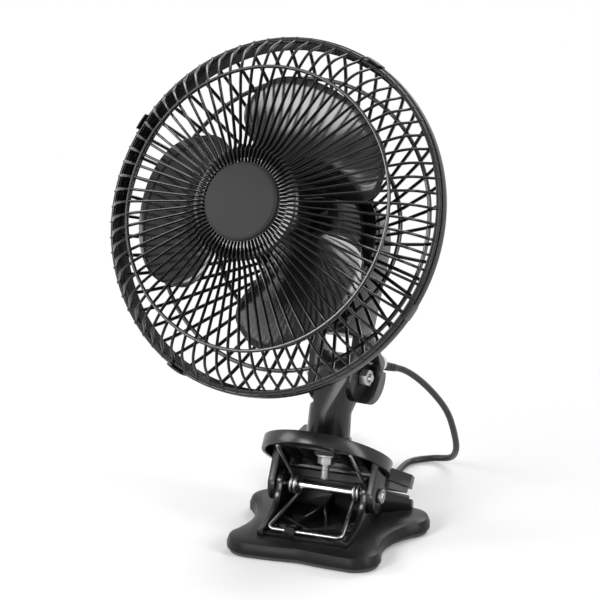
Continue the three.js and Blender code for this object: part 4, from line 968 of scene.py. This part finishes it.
# %% Small helpers for nodes
def new_group(name, inputs, outputs):
    group = bpy.data.node_groups.new(name, "ShaderNodeTree")
    for label, kind, default in inputs:
        socket = group.interface.new_socket(name=label, in_out="INPUT", socket_type=kind)
        socket.default_value = default
    for label, kind in outputs:
        group.interface.new_socket(name=label, in_out="OUTPUT", socket_type=kind)
    return group, group.nodes.new("NodeGroupInput"), group.nodes.new("NodeGroupOutput")


FLOAT = "NodeSocketFloat"


def maths(tree, operation, a, b=None, clamp=False):
    node = tree.nodes.new("ShaderNodeMath")
    node.operation = operation
    node.use_clamp = clamp
    for slot_index, value in enumerate((a, b)):
        if value is None:
            continue
        if isinstance(value, (int, float)):
            node.inputs[slot_index].default_value = value
        else:
            tree.links.new(value, node.inputs[slot_index])
    return node.outputs[0]


def noise_node(tree, vector, scale, detail=2.0, roughness=0.5):
    node = tree.nodes.new("ShaderNodeTexNoise")
    tree.links.new(vector, node.inputs["Vector"])
    if isinstance(scale, (int, float)):
        node.inputs["Scale"].default_value = scale
    else:
        tree.links.new(scale, node.inputs["Scale"])
    node.inputs["Detail"].default_value = detail
    node.inputs["Roughness"].default_value = roughness
    return node.outputs["Fac"]


def ranged(tree, value, low, high, to_low=0.0, to_high=1.0):
    node = tree.nodes.new("ShaderNodeMapRange")
    for label, given in (("Value", value), ("From Min", low), ("From Max", high),
                         ("To Min", to_low), ("To Max", to_high)):
        if isinstance(given, (int, float)):
            node.inputs[label].default_value = given
        else:
            tree.links.new(given, node.inputs[label])
    return node.outputs["Result"]


def mixed_colour(tree, factor, first, second):
    node = tree.nodes.new("ShaderNodeMix")
    node.data_type = "RGBA"
    for label, given in (("Factor", factor), ("A", first), ("B", second)):
        socket = node.inputs[label]
        if isinstance(given, (int, float, tuple)):
            socket.default_value = given
        else:
            tree.links.new(given, socket)
    return node.outputs["Result"]


# %% Mould grain
# A fine etched texture, with slow patches where the mould is more worn.
group, inp, outp = new_group("MouldGrain", [("Scale", FLOAT, 2200.0), ("Patchiness", FLOAT, 0.4)],
                             [("Height", FLOAT), ("Patches", FLOAT)])
place = group.nodes.new("ShaderNodeTexCoord").outputs["Object"]
fine = noise_node(group, place, inp.outputs["Scale"], 3.0, 0.6)
patch = ranged(group, noise_node(group, place, 28.0, 3.0), 0.35, 0.7)
worn = maths(group, "MULTIPLY", patch, inp.outputs["Patchiness"])
grain_left = maths(group, "SUBTRACT", 1.0, worn)
group.links.new(maths(group, "MULTIPLY", fine, grain_left), outp.inputs["Height"])
group.links.new(patch, outp.inputs["Patches"])
print(group.name, len(group.nodes), "nodes")

# %% Settled dust
# Dust and grime lie on faces that look up, broken by a slow noise.
group, inp, outp = new_group("SettledDust", [("Amount", FLOAT, 0.3), ("Patch Scale", FLOAT, 45.0)],
                             [("Mask", FLOAT)])
facing = group.nodes.new("ShaderNodeNewGeometry")
split = group.nodes.new("ShaderNodeSeparateXYZ")
group.links.new(facing.outputs["Normal"], split.inputs[0])
upward = ranged(group, split.outputs["Z"], 0.2, 1.0)
place = group.nodes.new("ShaderNodeTexCoord").outputs["Object"]
slow = noise_node(group, place, inp.outputs["Patch Scale"], 4.0, 0.65)
settled = maths(group, "MULTIPLY", upward, ranged(group, slow, 0.35, 0.75))
group.links.new(maths(group, "MULTIPLY", settled, inp.outputs["Amount"], True),
                outp.inputs["Mask"])
print(group.name, len(group.nodes), "nodes")

# %% Worn edges
# An edge is where a rounded copy of the surface would turn away from the real one.
group, inp, outp = new_group("WornEdge", [("Width", FLOAT, 0.0006), ("Amount", FLOAT, 0.5)],
                             [("Mask", FLOAT)])
bevelled = group.nodes.new("ShaderNodeBevel")
bevelled.samples = 4
group.links.new(inp.outputs["Width"], bevelled.inputs["Radius"])
facing = group.nodes.new("ShaderNodeNewGeometry")
agree = group.nodes.new("ShaderNodeVectorMath")
agree.operation = "DOT_PRODUCT"
group.links.new(bevelled.outputs["Normal"], agree.inputs[0])
group.links.new(facing.outputs["Normal"], agree.inputs[1])
edge = ranged(group, agree.outputs["Value"], 0.995, 0.9)
place = group.nodes.new("ShaderNodeTexCoord").outputs["Object"]
worn_places = ranged(group, noise_node(group, place, 90.0, 3.0), 0.4, 0.65)
rubbed = maths(group, "MULTIPLY", edge, worn_places)
group.links.new(maths(group, "MULTIPLY", rubbed, inp.outputs["Amount"], True),
                outp.inputs["Mask"])
print(group.name, len(group.nodes), "nodes")

# %% Groups and bumps in a material
def use_group(tree, name, **values):
    node = tree.nodes.new("ShaderNodeGroup")
    node.node_tree = bpy.data.node_groups[name]
    for label, value in values.items():
        node.inputs[label.replace("_", " ")].default_value = value
    return node.outputs


def bump(tree, height, depth):
    node = tree.nodes.new("ShaderNodeBump")
    node.inputs["Distance"].default_value = depth
    node.inputs["Strength"].default_value = 1.0
    tree.links.new(height, node.inputs["Height"])
    return node.outputs["Normal"]


# %% [markdown]
# ## Plastics
# Nearly all of the fan is dark moulded plastic, and its finishes differ in gloss and grain: the
# guards and blades are polished, the casing is a little duller, and the foot, the hub cap and the
# pads are matt. One function mixes the shared effects, and each material gives its own values. A
# picture texture could do it too, but a procedural finish has no seams and no fixed sharpness.

# %% Plastics
EDGE_PALER, EDGE_LIFT = 2.6, 0.03      # colour of a worn edge, from the plain one
TONE_LOW, TONE_HIGH = 0.88, 1.12       # the tone drifts between these shares of the colour
DUST_COLOUR, DUST_ROUGHER = (0.16, 0.155, 0.15, 1), 0.4


def plastic(name, colour, roughness, grain=2200.0, grain_depth=0.02, wear=0.3, dust=0.25,
            specular=0.4):
    """A moulded finish. grain_depth is in millimetres, wear and dust are shares."""
    material, tree, out = new_material(name)
    shader = tree.nodes.new("ShaderNodeBsdfPrincipled")
    tree.links.new(shader.outputs[0], out.inputs["Surface"])
    shader.inputs["Specular IOR Level"].default_value = specular
    mould = use_group(tree, "MouldGrain", Scale=grain)
    dusty = use_group(tree, "SettledDust", Amount=dust)["Mask"]
    edges = use_group(tree, "WornEdge", Amount=wear)["Mask"]
    paler = tuple(min(1.0, c * EDGE_PALER + EDGE_LIFT) for c in colour) + (1,)
    tone = mixed_colour(tree, mould["Patches"], tuple(c * TONE_LOW for c in colour) + (1,),
                        tuple(c * TONE_HIGH for c in colour) + (1,))
    tone = mixed_colour(tree, edges, tone, paler)
    tone = mixed_colour(tree, dusty, tone, DUST_COLOUR)
    tree.links.new(tone, shader.inputs["Base Color"])
    rough = ranged(tree, mould["Patches"], 0.0, 1.0, roughness - 0.04, roughness + 0.05)
    rougher = maths(tree, "ADD", rough, maths(tree, "MULTIPLY", dusty, DUST_ROUGHER), True)
    tree.links.new(rougher, shader.inputs["Roughness"])
    tree.links.new(bump(tree, mould["Height"], grain_depth * MM), shader.inputs["Normal"])
    return material


casing_black = plastic("casing_black", (0.0075, 0.0076, 0.0079), 0.24, dust=0.12, grain=1800.0,
                       grain_depth=0.012)
foot_black = plastic("foot_black", (0.005, 0.0051, 0.0053), 0.36, grain=1500.0, grain_depth=0.02,
                     dust=0.05, specular=0.2)
guard_black = plastic("guard_black", (0.0045, 0.0046, 0.0048), 0.17, grain=3000.0,
                      grain_depth=0.006, dust=0.06)
blade_smoke = plastic("blade_smoke", (0.009, 0.0092, 0.0097), 0.13, grain=3000.0,
                      grain_depth=0.004, wear=0.15, dust=0.02, specular=0.42)
badge_grey = plastic("badge_grey", (0.021, 0.0212, 0.0217), 0.55, grain=2600.0, grain_depth=0.02,
                     dust=0.05, specular=0.2)
bushing_pale = plastic("bushing_pale", (0.62, 0.62, 0.58), 0.45, wear=0.1, dust=0.3)
cord_black = plastic("cord_black", (0.009, 0.009, 0.0095), 0.35, grain=1400.0, grain_depth=0.012,
                     dust=0.1)
pad_grey = plastic("pad_grey", (0.085, 0.085, 0.083), 0.75, grain=1500.0, grain_depth=0.05,
                   dust=0.15)
sole_grey = plastic("sole_grey", (0.06, 0.06, 0.06), 0.85, grain=1200.0, grain_depth=0.08,
                    dust=0.1)
print("plastics:", [m.name for m in (casing_black, foot_black, guard_black, blade_smoke, badge_grey,
                                     bushing_pale, cord_black, pad_grey, sole_grey)])

# %% [markdown]
# ## Metals
# The spring is drawn wire, the bolts and nuts are plated steel, and the plug's pins are brass.
# All of them are full metals, whose look comes from their roughness: fine lines, stretched along
# one axis for drawn or brushed metal, and a few duller spots of tarnish. The windings are copper
# wire, and a pattern of rings stands for their turns: the darker copper in the rings is painted
# shade in the grooves between the turns. Modelling every turn would cost far more than it shows.

# %% Metals
TARNISH, TARNISH_SHARE, TARNISH_ROUGHER = (0.3, 0.28, 0.25, 1), 0.15, 0.5
LINE_DEPTH = 0.0015 * MM


def metal(name, colour, roughness, lines=(1.0, 1.0, 60.0)):
    """A metal finish. lines says how much finer the brushing is along each axis."""
    material, tree, out = new_material(name)
    shader = tree.nodes.new("ShaderNodeBsdfPrincipled")
    tree.links.new(shader.outputs[0], out.inputs["Surface"])
    shader.inputs["Metallic"].default_value = 1.0
    place = tree.nodes.new("ShaderNodeTexCoord").outputs["Object"]
    stretch = tree.nodes.new("ShaderNodeMapping")
    stretch.inputs["Scale"].default_value = lines
    tree.links.new(place, stretch.inputs["Vector"])
    brushed = noise_node(tree, stretch.outputs["Vector"], 60.0, 4.0, 0.6)
    spots = ranged(tree, noise_node(tree, place, 160.0, 5.0, 0.7), 0.55, 0.8, 0.0, TARNISH_SHARE)
    tree.links.new(mixed_colour(tree, spots, colour + (1,), TARNISH), shader.inputs["Base Color"])
    rough = ranged(tree, brushed, 0.2, 0.8, roughness - 0.04, roughness + 0.06)
    rougher = maths(tree, "ADD", rough, maths(tree, "MULTIPLY", spots, TARNISH_ROUGHER), True)
    tree.links.new(rougher, shader.inputs["Roughness"])
    tree.links.new(bump(tree, brushed, LINE_DEPTH), shader.inputs["Normal"])
    return material


zinc_steel = metal("zinc_steel", (0.72, 0.73, 0.75), 0.22)
zinc_dull = metal("zinc_dull", (0.46, 0.46, 0.47), 0.38, lines=(20, 20, 20))
wire_steel = metal("wire_steel", (0.40, 0.40, 0.41), 0.28)
core_steel = metal("core_steel", (0.33, 0.33, 0.35), 0.45, lines=(1, 30, 1))
bearing_bronze = metal("bearing_bronze", (0.5, 0.36, 0.18), 0.4, lines=(8, 8, 8))
pin_brass = metal("pin_brass", (0.72, 0.56, 0.3), 0.25, lines=(60, 1, 1))
print("metals:", [m.name for m in (zinc_steel, zinc_dull, wire_steel, core_steel, bearing_bronze,
                                   pin_brass)])

# %% Copper windings
# the darker copper is painted shade in the grooves between turns, the lighter one the wire itself
COPPER_IN_PAINTED_SHADE, LIGHT_COPPER = (0.3, 0.1, 0.04, 1), (0.75, 0.34, 0.16, 1)
wound_copper, tree, out = new_material("wound_copper")
shader = tree.nodes.new("ShaderNodeBsdfPrincipled")
tree.links.new(shader.outputs[0], out.inputs["Surface"])
shader.inputs["Metallic"].default_value = 1.0
turns = tree.nodes.new("ShaderNodeTexWave")
turns.wave_type = "RINGS"
turns.rings_direction = "SPHERICAL"
turns.inputs["Scale"].default_value = 700.0
turns.inputs["Distortion"].default_value = 1.5
tree.links.new(tree.nodes.new("ShaderNodeTexCoord").outputs["Object"], turns.inputs["Vector"])
tree.links.new(mixed_colour(tree, turns.outputs["Fac"], COPPER_IN_PAINTED_SHADE, LIGHT_COPPER),
               shader.inputs["Base Color"])
tree.links.new(ranged(tree, turns.outputs["Fac"], 0, 1, 0.5, 0.25), shader.inputs["Roughness"])
tree.links.new(bump(tree, turns.outputs["Fac"], 0.1 * MM), shader.inputs["Normal"])
print("made", wound_copper.name)

# %% [markdown]
# ## Which finish goes where
# The frame names a kind of material for every part. Most parts take the finish of their kind, and
# a few have one of their own, such as the foot, which is duller than the casing, and the plated
# bolts.

# %% Finishes on the parts
FINISHES = {
    "housing_plastic": casing_black, "guard_plastic": guard_black, "blade_plastic": blade_smoke,
    "trim_plastic": badge_grey, "grip_rubber": pad_grey, "sole_rubber": sole_grey,
    "bright_steel": zinc_steel, "dark_steel": core_steel, "copper_winding": wound_copper,
    "brass": pin_brass, "bushing_plastic": bushing_pale, "cord_plastic": cord_black,
}
SLOT_OF = {part["node"]: part["material_slot"] for part in frame["record"]["subparts"]}
OWN_FINISH = {
    "foot": foot_black, "bearing_front": bearing_bronze, "bearing_rear": bearing_bronze,
    "tilt_nut": zinc_dull, "tilt_bolt": zinc_dull, "swivel_bolt": zinc_dull,
    "swivel_nut": zinc_dull, "swivel_washer": zinc_dull, "axle_cap_left": core_steel,
    "axle_cap_right": core_steel,
}


def dress(piece, material):
    piece.data.materials.clear()
    piece.data.materials.append(material)


for name, piece in NODES.items():
    dress(piece, OWN_FINISH.get(name, FINISHES[SLOT_OF[name]]))
for piece in (cord_upper, cord_middle, cord_rest, sleeve):
    dress(piece, cord_black)
dress(bushing, bushing_pale)
for piece in [front_guard, rear_guard] + rim_clips:
    dress(piece, guard_black)
dress(blades, blade_smoke)
dress(spring, wire_steel)
dress(swivel_thread, zinc_dull)
for piece in screws:
    dress(piece, core_steel)
print("finishes on", len(NODES), "parts")

# %% [markdown]
# ## A last update

# %% Finish
bpy.context.view_layer.update()
